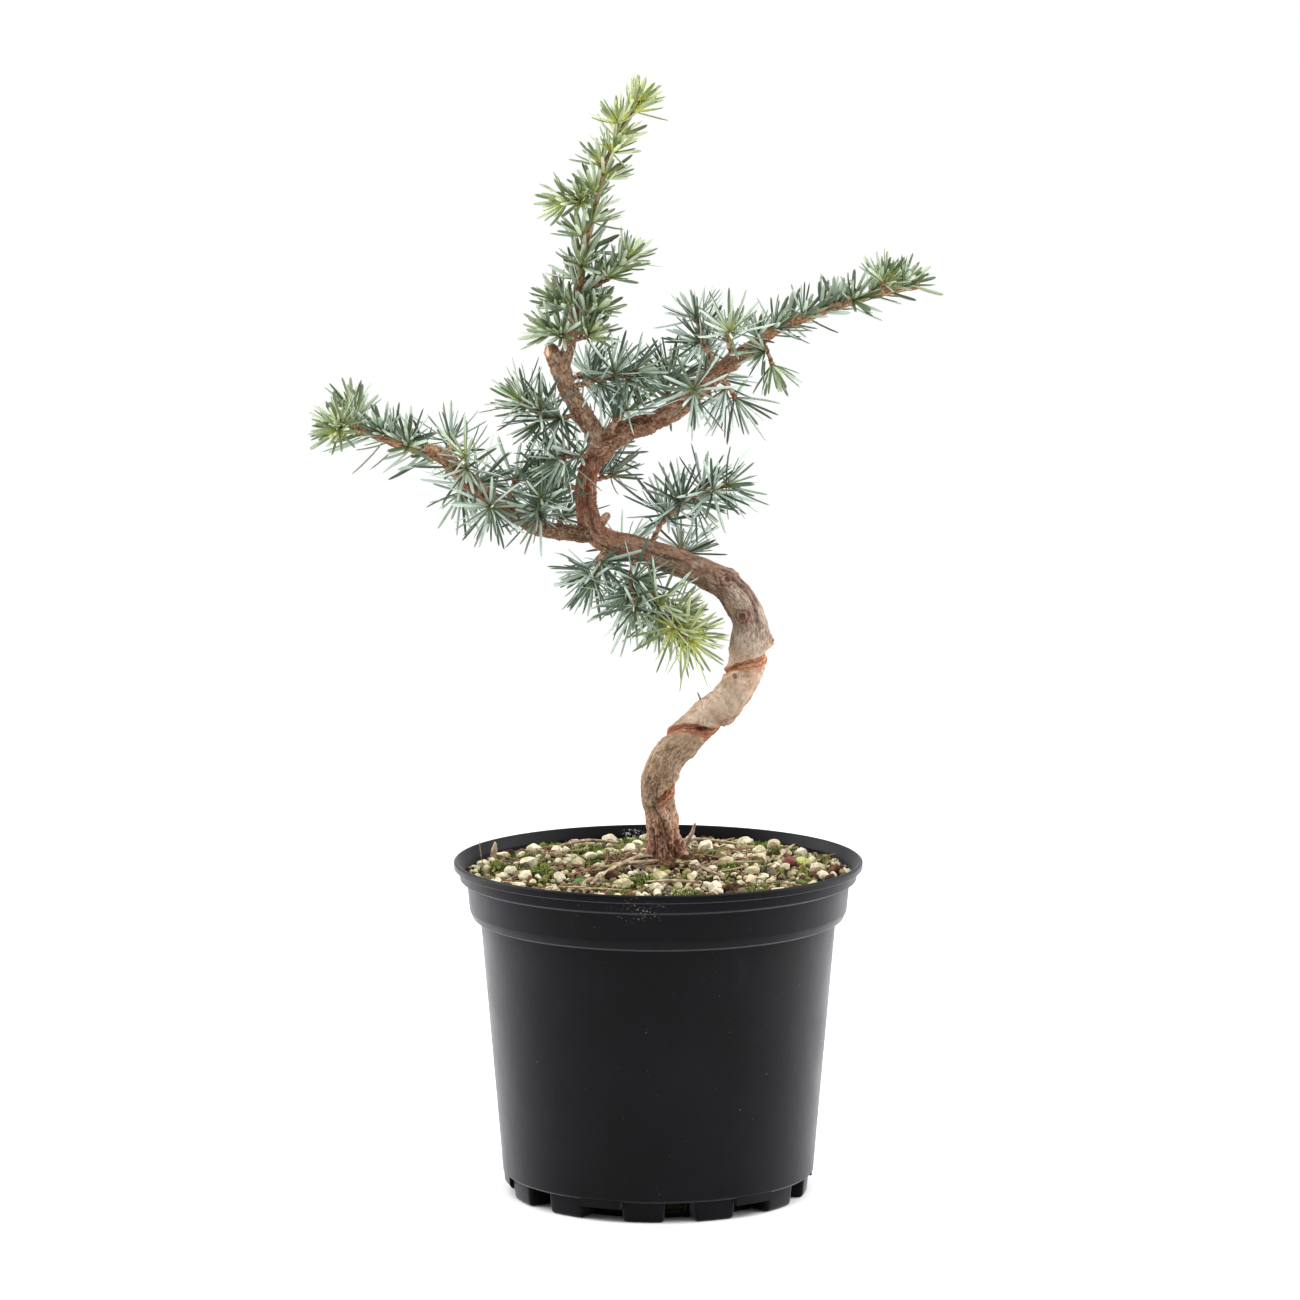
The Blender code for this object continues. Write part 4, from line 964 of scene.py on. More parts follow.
# The pot: a profile of radius and height in millimetres, spun, with feet, slots and a moulding seam.
potLook = {
    "outer": [
        (94, 157), (95, 156.2), (95, 153.4), (92.5, 152.7), (92.2, 148.4), (88.9, 147), (87.7, 134),
        (86.2, 130.4), (82.6, 129), (72.5, 10.8), (71, 9.6), (58.6, 9.6), (58.6, 0)],
    "inner": [
        (57, 2), (57, 11.4), (70.4, 11.8), (80.8, 128.6), (84.6, 132), (87.2, 147.2), (90.8, 149.2),
        (91, 152), (93.2, 156.6)],
    # edges of the profile sharper than this many degrees, and outside this radius, are rounded off
    "steps": 168, "roundOff": 0.32, "roundSegments": 3, "sharpEdge": 14, "roundOutside": 50,
    "footPairs": 6, "firstPair": 8.2, "footOffset": 14, "footRound": 1.8,
    "footWidth": 16.6, "footRadii": (57.8, 70.4), "footTop": 10.4, "footTaper": 1,
    "skirtRadii": (70.2, 72.2), "skirtBottom": 6.4, "skirtTaper": 0.4,
    "slot": (9, 6, 5), "slotAt": (57.8, 5.4),
    "seams": [-20, -200], "seamWidth": 0.35, "seamRadii": (84.2, 87.6), "seamHeights": (133, 149),
    "front": (8, 8, 10), "faded": (14, 13, 17), "worn": (32, 31, 36), "haze": 0.25, "creaseFrom": 32,
    # pale marks: noise scale, detail, squeeze, from, to, middle, reach, strength, colour
    "marks": [
        (900, 6, 1, 0.58, 0.66, (-8.4, -90, 149), 18, 0.7, (150, 146, 140)),
        (900, 7, 1.6, 0.54, 0.60, (-12, 88, 153.4), 7.5, 0.9, (214, 214, 208))],
}


def spinProfile(profile, steps):
    bm = bmesh.new()
    verts = [bm.verts.new((radius * mm, 0, height * mm)) for radius, height in profile]
    edges = [bm.edges.new(pair) for pair in zip(verts, verts[1:])]
    bmesh.ops.spin(bm, geom=[*verts, *edges], cent=(0, 0, 0), axis=(0, 0, 1), angle=fullTurn,
                   steps=steps, use_merge=True)
    bmesh.ops.remove_doubles(bm, verts=bm.verts, dist=0.004 * mm)
    bmesh.ops.recalc_face_normals(bm, faces=bm.faces)
    return bm


# A block is made straight, with its width along x, and then bent round the pot.
def turnedBlock(middle, width, radii, heights, taper, roundOff):
    bm = bmesh.new()
    bmesh.ops.create_cube(bm, size=1)
    upright = [e for e in bm.edges if abs(e.verts[0].co.x - e.verts[1].co.x) > 0.5]
    bmesh.ops.subdivide_edges(bm, edges=upright, cuts=5, use_grid_fill=True)
    (near, far), (low, high) = radii, heights
    arc = math.radians(width) * far
    for vert in bm.verts:
        vert.co = (vert.co.x * arc, (near + far) / 2 + vert.co.y * (far - near),
                   (low + high) / 2 + vert.co.z * (high - low))
    if roundOff:
        rim = [e for e in bm.edges if e.is_manifold and e.calc_face_angle() > 1
               and min(v.co.z for v in e.verts) < low + 0.01 and max(v.co.y for v in e.verts) > near + 0.1]
        bmesh.ops.bevel(bm, geom=rim, offset=roundOff, segments=4, profile=0.5, affect="EDGES", material=-1)
    for vert in bm.verts:
        drop = (high - vert.co.z) / (high - low)
        radius = vert.co.y - taper * drop * ((vert.co.y - near) / (far - near))
        angle = math.radians(middle) + vert.co.x * (1 - 0.05 * drop) / far
        vert.co = (radius * math.sin(angle) * mm, -radius * math.cos(angle) * mm, vert.co.z * mm)
    return bm


def joinAll(item, others, operation):
    group = bpy.data.collections.new("joining")
    bpy.context.scene.collection.children.link(group)
    for part in others:
        bpy.context.scene.collection.objects.unlink(part)
        group.objects.link(part)
    cut = item.modifiers.new("join", "BOOLEAN")
    cut.operation, cut.operand_type, cut.collection, cut.solver = operation, "COLLECTION", group, "EXACT"
    done = bpy.data.meshes.new_from_object(item.evaluated_get(bpy.context.evaluated_depsgraph_get()))
    item.modifiers.clear()
    item.data = done
    for part in others:
        bpy.data.objects.remove(part)
    bpy.data.collections.remove(group)


def potMaterial():
    look = potLook
    coat = Coat("potPlastic", 0.36, 0.06)
    coat.base = coat.blend(coat.patches(22, 3, 0.35, 0.75), look["front"], look["faded"])
    for key, value in (("Weight", look["haze"]), ("Roughness", 0.38), ("Tint", (0.93, 0.92, 1, 1))):
        coat.shader["Sheen " + key].default_value = value
    coat.patch(60, 8, 0.60, 0.78, 0.28, look["worn"], 0.5)
    for scale, detail, squeeze, low, high, spot, reach, strength, colour in look["marks"]:
        stretch = (1, 1, 2.2)
        middle = [s * k * mm for s, k in zip(spot, stretch)]
        away = coat.node("VectorMath", {0: coat.moved(stretch), 1: middle}, operation="DISTANCE")["Value"]
        near = coat.steps(away, reach * mm, reach * 0.2 * mm)
        coat.patch(scale, detail, low, high, coat.times(near, strength), colour, squeeze)
    coat.patch(640, 1, 0.79, 0.81, 0.35, (120, 114, 108))
    rough = coat.node("MapRange", {"Value": coat.mottle(45, 5), "From Min": 0.3, "From Max": 0.7,
                                   "To Min": 0.31, "To Max": 0.43})["Result"]
    coat.tree.links.new(rough, coat.shader["Roughness"])
    return coat.finish(coat.plus(coat.mottle(1500, 4), coat.times(coat.mottle(90, 3), 2)), 0.06)


def makePot():
    look = potLook
    inner, outer = look["inner"], look["outer"]
    bm = spinProfile([(0, inner[0][1]), *inner, *outer, (0, outer[-1][1])], look["steps"])
    rings = [e for e in bm.edges if e.is_manifold and e.calc_face_angle() > math.radians(look["sharpEdge"])
             and abs(e.verts[0].co.z - e.verts[1].co.z) < 1e-6
             and math.hypot(*e.verts[0].co[:2]) > look["roundOutside"] * mm]
    bmesh.ops.bevel(bm, geom=rings, offset=look["roundOff"] * mm, segments=look["roundSegments"],
                    profile=0.5, affect="EDGES", clamp_overlap=True, material=-1)
    pot = meshPiece("potShell", bm)
    added, slots = [], []
    spacing, top = 360 / look["footPairs"], look["footTop"]
    skirtWidth = spacing - 2 * look["footOffset"] - look["footWidth"] + 1
    for k in range(look["footPairs"]):
        pair = look["firstPair"] + spacing * k
        for side in (-1, 1):
            added.append(turnedBlock(pair + side * look["footOffset"], look["footWidth"], look["footRadii"],
                                     (0, top), look["footTaper"], look["footRound"]))
        added.append(turnedBlock(pair + spacing / 2, skirtWidth, look["skirtRadii"],
                                 (look["skirtBottom"], top + 1), look["skirtTaper"], 0))
        bm = bmesh.new()
        bmesh.ops.create_cube(bm, size=1)
        bmesh.ops.scale(bm, vec=[s * mm for s in look["slot"]], verts=bm.verts)
        bmesh.ops.translate(bm, vec=(0, -look["slotAt"][0] * mm, look["slotAt"][1] * mm), verts=bm.verts)
        bmesh.ops.rotate(bm, matrix=Matrix.Rotation(math.radians(pair), 3, "Z"), verts=bm.verts)
        slots.append(meshPiece(f"slot{k}", bm))
    for angle in look["seams"]:
        added.append(turnedBlock(180 + angle, look["seamWidth"], look["seamRadii"], look["seamHeights"],
                                 0, 0))
    joinAll(pot, [meshPiece(f"foot{k}", bm) for k, bm in enumerate(added)], "UNION")
    joinAll(pot, slots, "DIFFERENCE")
    keepPiece(pot, "pot_plastic", ["pot"], [potMaterial()])
    pot.data.set_sharp_from_angle(angle=math.radians(look["creaseFrom"]))
    print("pot made")


makePot()


# Soil: a bumpy bed of peat, covered with pumice grains, moss, litter and a few dead twigs.
soilLook = {
    "edge": 149.6, "peak": 153.7, "footSpot": (3, 12), "flatRadius": 15, "fallReach": 68,
    # how far things lie from the pot's middle, how far their ends reach, and how near to the trunk they come
    "reach": 88, "outerReach": 87.5, "trunkClear": 11.5,
    "rings": 60, "steps": 180, "clear": 0.35, "bumps": 1.6, "wallTop": 148,
    "grains": 1150, "grainSizes": (1.2, 3.1), "grainTries": 30000, "grainCrease": 27, "crumbs": 420,
    "mossBlades": 10000, "patchShare": 0.62,
    "litter": 190, "litterReach": 84, "litterLength": (9, 19), "footLitter": 150, "footRing": (12, 27),
    # x, y and radius of the larger stones, and how far they stand out
    "stones": [
        (-48.2, 42.8, 4.2), (-60.2, 13.9, 4.6), (-75, -32.8, 4.2), (-64.1, -42.4, 4.4), (-36.8, 2.9, 4.4),
        (-50.1, -60.3, 4.3), (-25.9, -74, 4.6), (22.4, 47.3, 5.2), (47.6, 38.3, 4.8), (47.3, 16.1, 4.8),
        (73.7, 2.9, 4.6), (55, -57.4, 4.7), (1.5, -29.6, 4.3), (26.5, -48.8, 4.5), (43.7, -12.4, 4.2),
        (-61, -19.2, 4.1), (-25.8, -27.5, 4), (37.5, -71.5, 4.2), (7.1, -73.9, 3.9), (-10.1, 60, 3.9),
        (-13.4, 34, 4.3), (66.6, 40.4, 4.3), (-68, -2.5, 3.9), (72.1, 20.1, 3.7), (-31.3, 19.1, 3.9),
        (-1, -49.5, 4), (51.2, -35.1, 3.8), (75.4, -22, 4.4), (-39.8, 71, 3.7), (-73, 37.8, 3.9),
        (31.1, 8.2, 4.2), (-81.7, 11.5, 3.9), (2, 41.8, 3.9), (16.9, -8.2, 4.3), (54.7, 56.6, 4.7),
        (15.7, 78.4, 3.7), (-45, -23.3, 4.1), (70.5, -38.8, 4.3), (41.9, 69.1, 4.5), (-6.3, 81, 4.2),
        (-58.4, 55.2, 4.5), (-16.5, -42.3, 4.5), (-23.6, 78.3, 4.3)],
    "stoneRise": 0.38,
    # x, y and reach of the moss patches
    "moss": [
        (-29.6, 18.9, 9), (-64.7, 32.2, 8), (46.3, -50, 9), (-80, -28, 7), (21.9, 24.2, 8),
        (-8.4, -33.3, 6), (-44.7, -66, 8), (76, 28, 7), (-30, 45, 12), (-56, -8, 9), (60, 45, 9),
        (5, 55, 9), (-10, 70, 8), (50, 66, 8), (-50, 62, 8), (35, -5, 6), (-72, 5, 8), (12, -62, 6),
        (68, -38, 6), (-18, -58, 6)],
    # x, y, reach and number of the heaps of crumbs
    "clumps": [
        (32.8, -50, 6, 16), (75, -20, 6, 22), (83, 2, 5, 18), (33, -66, 4, 8), (-25, -20, 7, 14),
        (4, -4, 8, 44), (17, 8, 6, 20), (-11, 6, 6, 18), (-70, 40, 5, 8), (20, 70, 6, 10)],
    # x, y, height above the soil and radius, along each dead twig, and how thick they are drawn
    "twigs": [
        [(-2, 6, 3, 1), (-8, 2, 4, 1.1), (-16, -12, 4.4, 1.15), (-24, -28, 4, 1), (-31, -46, 2.6, 0.8)],
        [(-27, -36, 3, 0.8), (-33, -42, 3.6, 0.8), (-34.5, -52, 2.8, 0.7), (-33, -66, 1.5, 0.5)],
        [(11.5, 35, 0, 1.1), (13, 35, 4, 1.2), (15.5, 35, 9, 1.1), (17.4, 35, 15, 0.7)],
        [(-78, 34, -2, 1.5), (-77.5, 34.5, 3, 1.8), (-76.8, 35, 7.5, 1.3), (-76.6, 35, 9.4, 0.8)],
        [(-80.5, -5, 0, 0.42), (-81.2, -5, 4, 0.34), (-82.1, -5, 9, 0.26), (-83, -5, 16.5, 0.16)],
        [(55, 16, 2, 0.9), (60, 36, 3.6, 0.9), (64.4, 52, 4.6, 0.6)],
        [(76.7, -13, 1, 0.5), (77.4, -13, 5, 0.4), (78.2, -12.5, 10, 0.3)],
        [(-22, -10, 3, 1.1), (-8, -8, 3.6, 1.2), (0, -5, 3.4, 0.9)],
        [(14.6, -3, 3, 0.9), (23, -24, 3.4, 0.8), (31, -34, 3, 0.6)],
        [(20, -40, 2, 0.8), (6, -46, 3.4, 0.9), (-6, -44, 3, 0.6)],
        [(-40, -50, 1.4, 0.7), (-30, -58, 3.4, 0.8), (-16, -60, 3, 0.5)],
        [(40, 62, 2, 0.8), (20, 66, 3.4, 0.9), (4, 60, 2.6, 0.6)],
        [(-50, 50, 2, 1), (-36, 60, 3.6, 1), (-18, 62, 2.6, 0.7)]],
    "twigShare": 0.85, "twigStep": 0.9, "twigSides": 14,
    # light and dark of the dry needles: the light is painted on each needle's lit half and tip, the dark on
    # its shaded half and base, and over some needles at random
    "dry": {
        "straw": [(190, 164, 122), (134, 106, 72)], "rust": [(172, 108, 74), (106, 60, 40)],
        "ash": [(168, 158, 140), (102, 92, 74)]},
    "pumice": {
        "cream": (202, 188, 154), "ivory": (226, 215, 188), "sand": (160, 142, 108),
        "mossy": (112, 116, 56), "grey": (118, 106, 86)},
    "crumbPaints": {
        "peatCrumb": [(40, 28, 20), (84, 60, 42)], "barkCrumb": [(70, 44, 30), (128, 88, 62)],
        "greyCrumb": [(84, 78, 62), (128, 120, 98)]},
    "mossPaints": {
        "moss": [(42, 58, 15), (88, 110, 32)], "darkMoss": [(24, 36, 10), (52, 70, 20)],
        "paleMoss": [(112, 130, 50), (150, 162, 76)]},
    "sproutPaints": {
        "berrySkin": [(78, 34, 28), (122, 62, 46)], "seedling": [(150, 158, 80), (196, 194, 122)],
        "leafGreen": [(52, 92, 54), (86, 128, 76)]},
}


def soilHeight(x, y):
    look = soilLook
    away = max(0, math.hypot(x - look["footSpot"][0], y - look["footSpot"][1]) - look["flatRadius"])
    fall = min(1, away / look["fallReach"])
    waves = math.sin(x / 7 + 0.6) * math.sin(y / 8 + 1.1)
    return look["peak"] - (look["peak"] - look["edge"]) * fall + 0.5 * waves * min(1, 4 * fall)


def makeSoilBed():
    look = soilLook
    clear, top = look["clear"], look["wallTop"]
    wall = [(radius - clear, height + clear) for radius, height in potLook["inner"] if height < top]
    edge = (potLook["inner"][-2][0] - clear, look["edge"])
    # the top starts above everything, and is then let down to the soil's height
    above = 200
    radii = np.linspace(0, edge[0], look["rings"])[:-1]
    profile = [*((float(r), above) for r in radii), edge, *reversed(wall), (0, wall[0][1])]
    bm = spinProfile(profile, look["steps"])
    for vert in bm.verts:
        if vert.co.z > 0.9 * above * mm:
            x, y = vert.co.x / mm, vert.co.y / mm
            rough = noise.fractal((x * 0.16, y * 0.16, 3), 0.8, 2.1, 5)
            fade = min(1, (edge[0] - math.hypot(x, y)) / 4)
            vert.co.z = (soilHeight(x, y) + look["bumps"] * (rough - 0.3) * fade) * mm
    bmesh.ops.recalc_face_normals(bm, faces=bm.faces)
    # dark peat, painted darker still to stand for the shade in the gaps between the grains
    coat = rampCoat("peatWithGapShade", 0.95, 0.12, 260, 6, (0.34, (20, 15, 11)), (0.48, (38, 28, 20)),
                    (0.58, (60, 46, 32)), (0.72, (28, 21, 15)))
    coat.patch(60, 5, 0.46, 0.60, 0.75, (44, 54, 20))
    keepPiece(meshPiece("soilBed", bm), "soil", ["soil"], [coat.finish((700, 6), 0.8)])


# Two-tone materials, dark in the hollows of the noise and light on its heights.
def twoTones(paints, roughness, specular, scale, detail, grain=None, depth=0):
    made = []
    for name, (low, high) in paints.items():
        coat = rampCoat(name, roughness, specular, scale, detail, (0.35, low), (0.65, high))
        made.append(coat.finish(grain, depth))
    return made


# Copies of a few small shapes, joined into one mesh. Each is a shape, a place and which material it takes.
def scatterPiece(name, shapes, copies, materials):
    spots, faces, marks, start = [], [], [], 0
    for shape, place, mark in copies:
        points, corners = shapes[shape]
        spots.append(points @ place[:3, :3].T + place[:3, 3])
        faces += [[index + start for index in corner] for corner in corners]
        marks += [mark] * len(corners)
        start += len(points)
    mesh = bpy.data.meshes.new(name)
    mesh.from_pydata(np.concatenate(spots).tolist(), [], faces)
    keepPiece(linked(name, mesh), "soil", [], materials)
    mesh.polygons.foreach_set("material_index", np.array(marks, np.int32))
    return mesh


# A grain is a ball knocked flat on several sides and roughened.
def grainShape(seed, chips, rough, detail=2):
    rng = random.Random(f"grain{seed}")
    bm = bmesh.new()
    bmesh.ops.create_icosphere(bm, subdivisions=detail, radius=1)
    planes = [(Vector([rng.gauss(0, 1) for _ in range(3)]).normalized(), rng.uniform(0.56, 0.82))
              for _ in range(chips)]
    for vert in bm.verts:
        for normal, depth in planes:
            over = vert.co.dot(normal) - depth
            if over > 0:
                vert.co -= normal * over * 0.96
        vert.co *= 1 + rough * noise.noise(vert.co * 2.1 + Vector((seed * 3.7, 0, 0)))
    return takeShape(bm)


# A place on the soil: how a copy is turned, its sizes and its height above the soil, in millimetres.
def placed(turn, sizes, x, y, up):
    place = np.eye(4)
    place[:3, :3] = np.array(turn) @ np.diag([size * mm for size in sizes])
    place[:3, 3] = (x * mm, y * mm, (soilHeight(x, y) + up) * mm)
    return place


def anyTurn(rng, tilt=math.pi):
    first, lean, last = rng.uniform(0, fullTurn), rng.uniform(-tilt, tilt), rng.uniform(0, fullTurn)
    return Matrix.Rotation(first, 3, "Z") @ Matrix.Rotation(lean, 3, "X") @ Matrix.Rotation(last, 3, "Z")


def anySpot(rng, reach):
    radius, angle = reach * math.sqrt(rng.random()), rng.uniform(0, fullTurn)
    return radius * math.cos(angle), radius * math.sin(angle)


def heapSpot(rng, x, y, spread):
    return x + rng.gauss(0, spread), y + rng.gauss(0, spread)


def nearTrunk(x, y, margin):
    return math.hypot(x - soilLook["footSpot"][0], y - soilLook["footSpot"][1]) < margin


# Off the soil, or too near the trunk's foot.
def misplaced(x, y, reach=soilLook["outerReach"], margin=soilLook["trunkClear"]):
    return math.hypot(x, y) > reach or nearTrunk(x, y, margin)


def makeGrains():
    look = soilLook
    rng = random.Random("pumice")
    # small grains come in ten shapes, and stones in six finer ones
    shapes = [grainShape(seed, 9, 0.10) for seed in range(10)]
    shapes += [grainShape(seed, 10, 0.12, 3) for seed in range(20, 26)]
    copies, taken, wanted = [], [], list(look["stones"])
    smallest, largest = look["grainSizes"]
    for _ in range(look["grainTries"]):
        if len(copies) == look["grains"]:
            break
        stone = bool(wanted)
        if stone:
            x, y, size = wanted.pop(0)
        else:
            x, y = anySpot(rng, look["reach"] + 0.5)
            size = smallest + (largest - smallest) * rng.random() ** 1.4
            # moss and bare litter keep most grains off
            bare = noise.noise((x * 0.045, y * 0.045, 9)) < -0.16 and rng.random() < 0.6
            inMoss = any(math.hypot(x - a, y - b) < reach for a, b, reach in look["moss"])
            mossy = inMoss and rng.random() < 0.8
            if bare or mossy or nearTrunk(x, y, 12.5 + size) or math.hypot(x, y) + size > look["reach"] + 2:
                continue
            if any((x - a) ** 2 + (y - b) ** 2 < (0.90 * (size + c)) ** 2 for a, b, c in taken):
                continue
        taken.append((x, y, size))
        lift = look["stoneRise"] * size if stone else rng.uniform(0, 0.75) * size
        tall = 0.75 if stone else rng.uniform(0.66, 0.95)
        sizes = (size * rng.uniform(0.85, 1.15), size * rng.uniform(0.8, 1), size * tall)
        # larger grains are cream or ivory, small ones of every tone
        tones = (0, 0, 1, 1, 2, 3, 3, 4) if size < 3.2 else (0, 1, 1)
        shape = rng.randrange(10, 16) if stone else rng.randrange(10)
        turn = anyTurn(rng, 0.3 if stone else 0.6)
        copies.append((shape, placed(turn, sizes, x, y, lift), rng.choice(tones)))
    materials = []
    for name, tone in look["pumice"].items():
        coat = Coat(name + "Pumice", 0.92, 0.15)
        coat.base = coat.blend(coat.patches(330, 5, 0.38, 0.66), tone, tuple(c * 0.76 for c in tone))
        coat.patch(150, 5, 0.50, 0.66, 0.55, (134, 140, 70))
        materials.append(coat.finish((1500, 6), 0.28))
    scatterPiece("pumiceGrains", shapes, copies, materials).set_sharp_from_angle(
        angle=math.radians(look["grainCrease"]))
    print("pumice grains:", len(copies))


def makeCrumbs():
    look = soilLook
    rng = random.Random("crumbs")
    shapes = [grainShape(seed + 40, 3, 0.55) for seed in range(6)]
    copies = []

    def drop(x, y, size, up, spread, tones):
        shape, sizes = rng.randrange(6), [size * rng.uniform(*spread) for _ in range(3)]
        copies.append((shape, placed(anyTurn(rng), sizes, x, y, up), rng.choice(tones)))

    for x, y, reach, count in look["clumps"]:
        for _ in range(count):
            a, b = heapSpot(rng, x, y, reach * 0.5)
            if not misplaced(a, b, 86.5):
                drop(a, b, rng.uniform(0.9, 2.6), rng.uniform(0.4, 2.2), (0.7, 1.3), (0, 0, 1))
    while len(copies) < look["crumbs"]:
        x, y = anySpot(rng, look["reach"])
        if not nearTrunk(x, y, 12):
            drop(x, y, rng.uniform(0.5, 1.6), rng.uniform(0.2, 1.3), (0.6, 1.5), (0, 1, 1, 2))
    materials = twoTones(look["crumbPaints"], 0.9, 0.15, 480, 5, (1300, 5), 0.6)
    scatterPiece("barkCrumbs", shapes, copies, materials)


# A moss blade is a thin cone, bent over.
def bladeShape():
    bm = bmesh.new()
    bmesh.ops.create_cone(bm, cap_ends=True, segments=3, radius1=0.16, radius2=0.01, depth=1,
                          matrix=Matrix.Translation((0, 0, 0.5)))
    upright = [e for e in bm.edges if abs(e.verts[0].co.z - e.verts[1].co.z) > 0.5]
    bmesh.ops.subdivide_edges(bm, edges=upright, cuts=1)
    for vert in bm.verts:
        vert.co.x += 0.35 * vert.co.z ** 2
    bmesh.ops.recalc_face_normals(bm, faces=bm.faces)
    return takeShape(bm)


def makeMoss():
    look = soilLook
    rng = random.Random("moss")
    shapes = [bladeShape(), grainShape(70, 2, 0.5)]
    copies = []
    for x, y, reach in look["moss"]:
        for _ in range(int(reach * 1.4)):
            a, b = heapSpot(rng, x, y, reach * 0.45)
            if not misplaced(a, b, 86, 13):
                size = rng.uniform(1.4, 2.8)
                copies.append((1, placed(anyTurn(rng, 0.2), (size, size, size * 0.6), a, b, -0.3), 1))
    for _ in range(look["mossBlades"]):
        # most blades stand taller, on the patches
        if rng.random() < look["patchShare"]:
            x, y, reach = rng.choice(look["moss"])
            x, y = heapSpot(rng, x, y, reach * 0.5)
            tall, up = rng.uniform(1.4, 3), 0.8
        else:
            x, y = anySpot(rng, look["reach"])
            tall, up = rng.uniform(0.9, 2), 0.4
        if not misplaced(x, y):
            place = placed(anyTurn(rng, 0.9), (1.7, 1.7, tall), x, y, up)
            copies.append((0, place, rng.choice((0, 1, 1, 2))))
    scatterPiece("mossTufts", shapes, copies, twoTones(look["mossPaints"], 0.8, 0.2, 400, 4))
    print("moss pieces:", len(copies))


def makeLitter():
    look = soilLook
    rng = random.Random("litter")
    rows = {tint: [] for tint in look["dry"]}
    for k in range(look["litter"] + look["footLitter"]):
        # the last of it is broken bits heaped round the trunk's foot
        atFoot = k >= look["litter"]
        angle = rng.uniform(0, fullTurn)
        radius = rng.uniform(*look["footRing"]) if atFoot else look["litterReach"] * math.sqrt(rng.random())
        x, y = radius * math.cos(angle), radius * math.sin(angle)
        if atFoot:
            x, y = x + look["footSpot"][0], y + look["footSpot"][1]
        elif nearTrunk(x, y, 13):
            continue
        heading = rng.uniform(0, fullTurn)
        length = rng.uniform(*look["litterLength"]) * (0.5 if atFoot else 1)
        endX, endY = x + math.cos(heading) * length, y + math.sin(heading) * length
        if misplaced(endX, endY):
            continue
        root = Vector((x, y, soilHeight(x, y) + rng.uniform(0.8, 3.2))) * mm
        tip = Vector((endX, endY, soilHeight(endX, endY) + rng.uniform(0.8, 3.6))) * mm
        way = (tip - root).normalized()
        curl = Vector((rng.gauss(0, 0.12), rng.gauss(0, 0.12), rng.uniform(-0.02, 0.10)))
        wide = Matrix.Rotation(rng.gauss(0, 0.7), 3, way) @ way.cross(Vector((0, 0, 1))).normalized()
        tint = rng.choice(("straw", "straw", "rust", "ash"))
        rows[tint].append((tint, root, way, (tip - root).length, curl, wide, rng.uniform(0.45, 0.8), 0,
                           rng.random()))
    # the dry needles get painted lit and shaded halves as well
    for tint, (light, dark) in look["dry"].items():
        pale = ("light", "newLight", "tip")
        tones = {key: light if key in pale else dark for key in foliageLook["paints"]}
        needlePiece(tint + "Litter", rows[tint], needleMaterial(tint + "Needle", tones), "soil", [])


def makeDeadTwigs():
    look = soilLook
    parts = []
    for k, points in enumerate(look["twigs"]):
        waypoints = [(x, y, soilHeight(x, y) + up, look["twigShare"] * r) for x, y, up, r in points]
        line = smoothLine(waypoints, look["twigStep"] * mm)
        line[[0, -1], 3] *= 0.6
        relief = boughRelief(k * 9 + 3, boughLook["neverYoung"])
        parts.append(rollTube(f"dead{k}", line, look["twigSides"], relief))
    coat = rampCoat("deadWood", 0.9, 0.15, 300, 5, (0.32, (104, 86, 70)), (0.50, (156, 136, 114)),
                    (0.68, (194, 178, 156)))
    keepPiece(joinParts("deadTwigs", parts), "soil", [], [coat.finish((1400, 5, 0.5), 0.3)])


# A berry, a curled seedling beside it and a three-lobed leaf.
def makeSprouts():
    shapes = [grainShape(90, 1, 0.10, 3), grainShape(91, 0, 0.12, 3)]
    # shape, x, y, height above the soil, sizes, turn and tilt, material
    rows = [(0, 61.3, 6, 3.2, (3.3, 3, 2.8), 0.3, 0.2, 0), (1, 66.5, 6.5, 4.6, (2.6, 1.9, 0.7), 0.5, 1.1, 1),
            (1, 69.3, 6, 4.4, (2.3, 1.7, 0.7), 2.3, -1, 1), (1, 67.8, 4, 2.2, (0.7, 0.7, 2.2), 0, 0.2, 1)]
    for angle in (0.4, 2.49, 4.58):
        x, y = -37.8 + 2 * math.cos(angle), -46 + 2 * math.sin(angle)
        rows.append((1, x, y, 4.4, (2.1, 1.5, 0.35), angle, 0.35, 2))
    copies = []
    for shape, x, y, up, sizes, turn, tilt, mark in rows:
        turned = Matrix.Rotation(turn, 3, "Z") @ Matrix.Rotation(tilt, 3, "X")
        copies.append((shape, placed(turned, sizes, x, y, up), mark))
    materials = twoTones(soilLook["sproutPaints"], 0.5, 0.4, 400, 4, (900, 4), 0.2)
    scatterPiece("sproutsAndBerry", shapes, copies, materials)


for make in (makeSoilBed, makeGrains, makeMoss, makeCrumbs, makeLitter, makeDeadTwigs, makeSprouts):
    make()
print("soil made")


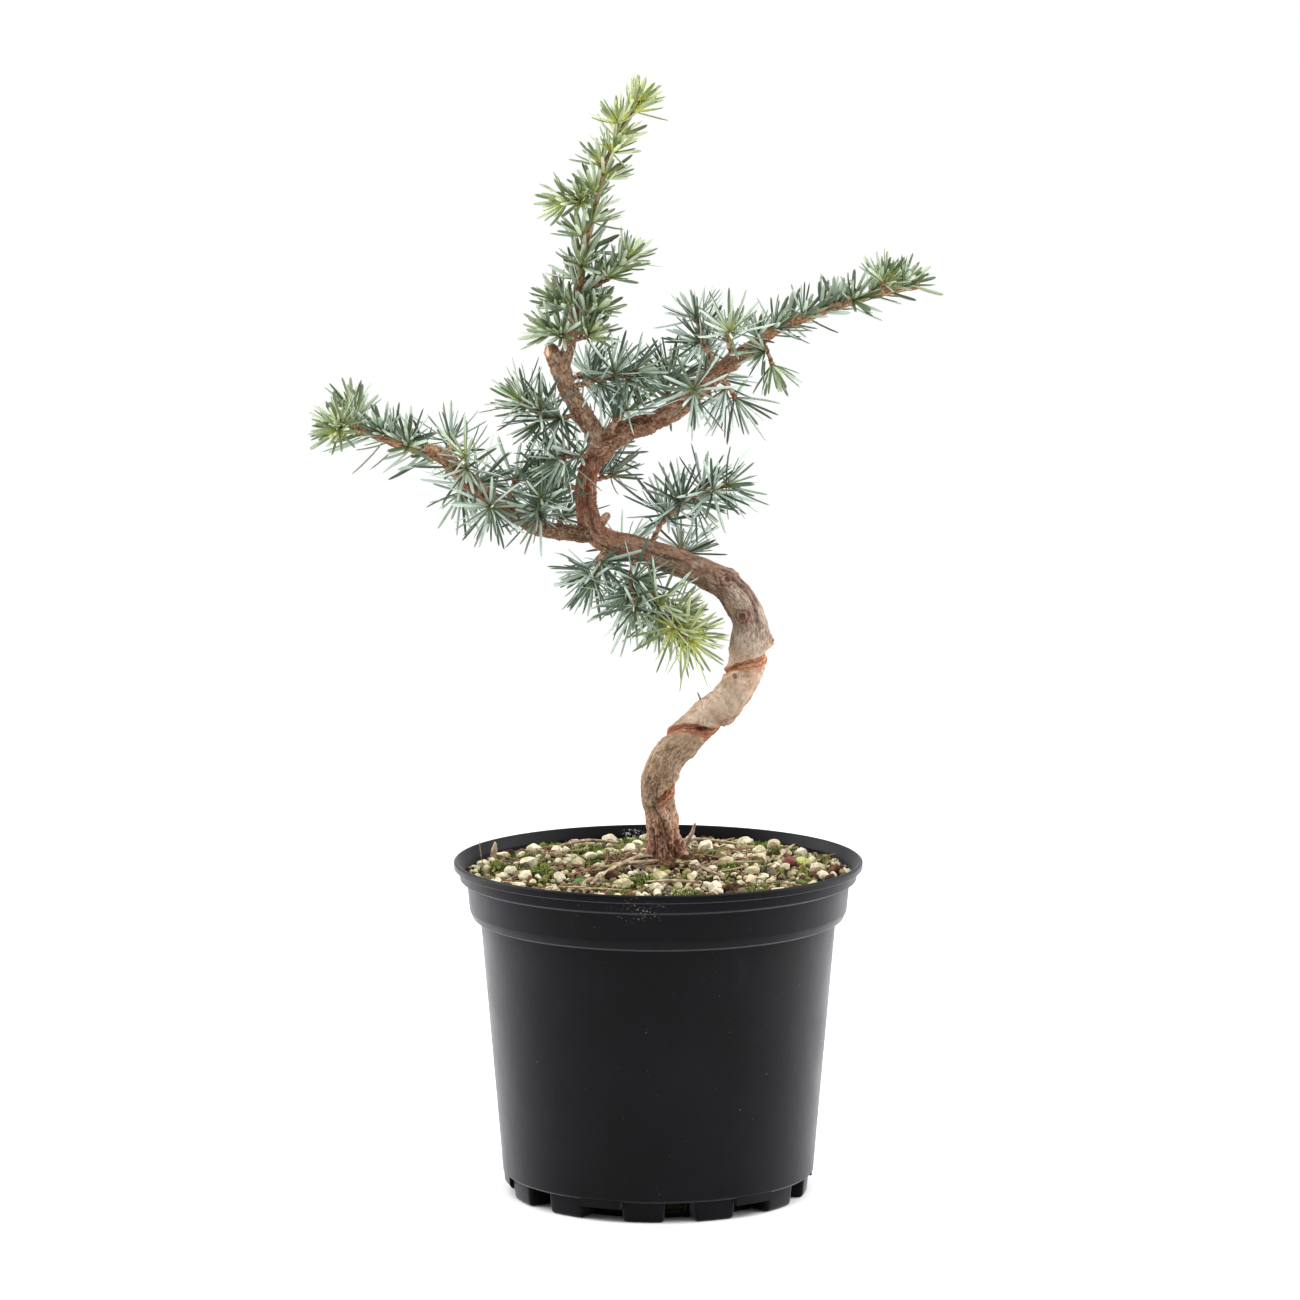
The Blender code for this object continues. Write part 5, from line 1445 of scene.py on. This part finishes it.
# Floor, lights and camera. The backdrop is plain white, and lights the plant as a softer fill.
stageLook = {
    "floorRadius": 1.7, "floorSides": 96, "fill": 0.50,
    # name, place, aim, width and height in metres, watts
    "lights": [
        ("leftBox", (-1.35, 0.35, 0.8), (0, 0, 0.25), 1.3, 1.6, 34),
        ("rightBox", (1.35, 0.10, 0.8), (0, 0, 0.25), 1.5, 1.6, 34),
        ("topBox", (0, -0.5, 2.5), (0, 0, 0.1), 3, 3, 84)],
    "lens": 180, "sensor": 36, "cameraPlace": (-0.00384, -2.9746, 0.6884), "cameraTilt": 81.71,
}


def makeStage():
    look = stageLook
    bm = bmesh.new()
    bmesh.ops.create_circle(bm, cap_ends=True, segments=look["floorSides"], radius=look["floorRadius"])
    floor = meshPiece("studioFloor", bm)
    coat = rampCoat("studioFloor", 0.9, 0.1, 2, 2, (0.3, (236, 236, 236)), (0.7, (238, 238, 238)))
    floor.data.materials.append(coat.finish())
    scene = bpy.context.scene
    scene.world = bpy.data.worlds.new("studio")
    scene.world.use_nodes = True
    sky = scene.world.node_tree
    background = sky.nodes["Background"].inputs
    background["Color"].default_value = (1, 1, 1, 1)
    seen = addNode(sky, "LightPath", {})["Is Camera Ray"]
    strength = addNode(sky, "MapRange", {"Value": seen, "To Min": look["fill"], "To Max": 1})["Result"]
    sky.links.new(strength, background["Strength"])
    for name, place, aim, width, height, watts in look["lights"]:
        lamp = bpy.data.lights.new(name, "AREA")
        lamp.shape, lamp.size, lamp.size_y, lamp.energy = "RECTANGLE", width, height, watts
        item = linked(name, lamp)
        item.location = place
        item.rotation_euler = (Vector(aim) - Vector(place)).to_track_quat("-Z", "Y").to_euler()
        item.visible_camera = False
    lens = bpy.data.cameras.new("studioCamera")
    lens.lens, lens.sensor_width, lens.clip_end = look["lens"], look["sensor"], 50
    camera = linked("studioCamera", lens)
    camera.location = look["cameraPlace"]
    camera.rotation_euler = (math.radians(look["cameraTilt"]), 0, 0)
    scene.camera = camera
    scene.view_settings.view_transform = "Standard"


makeStage()
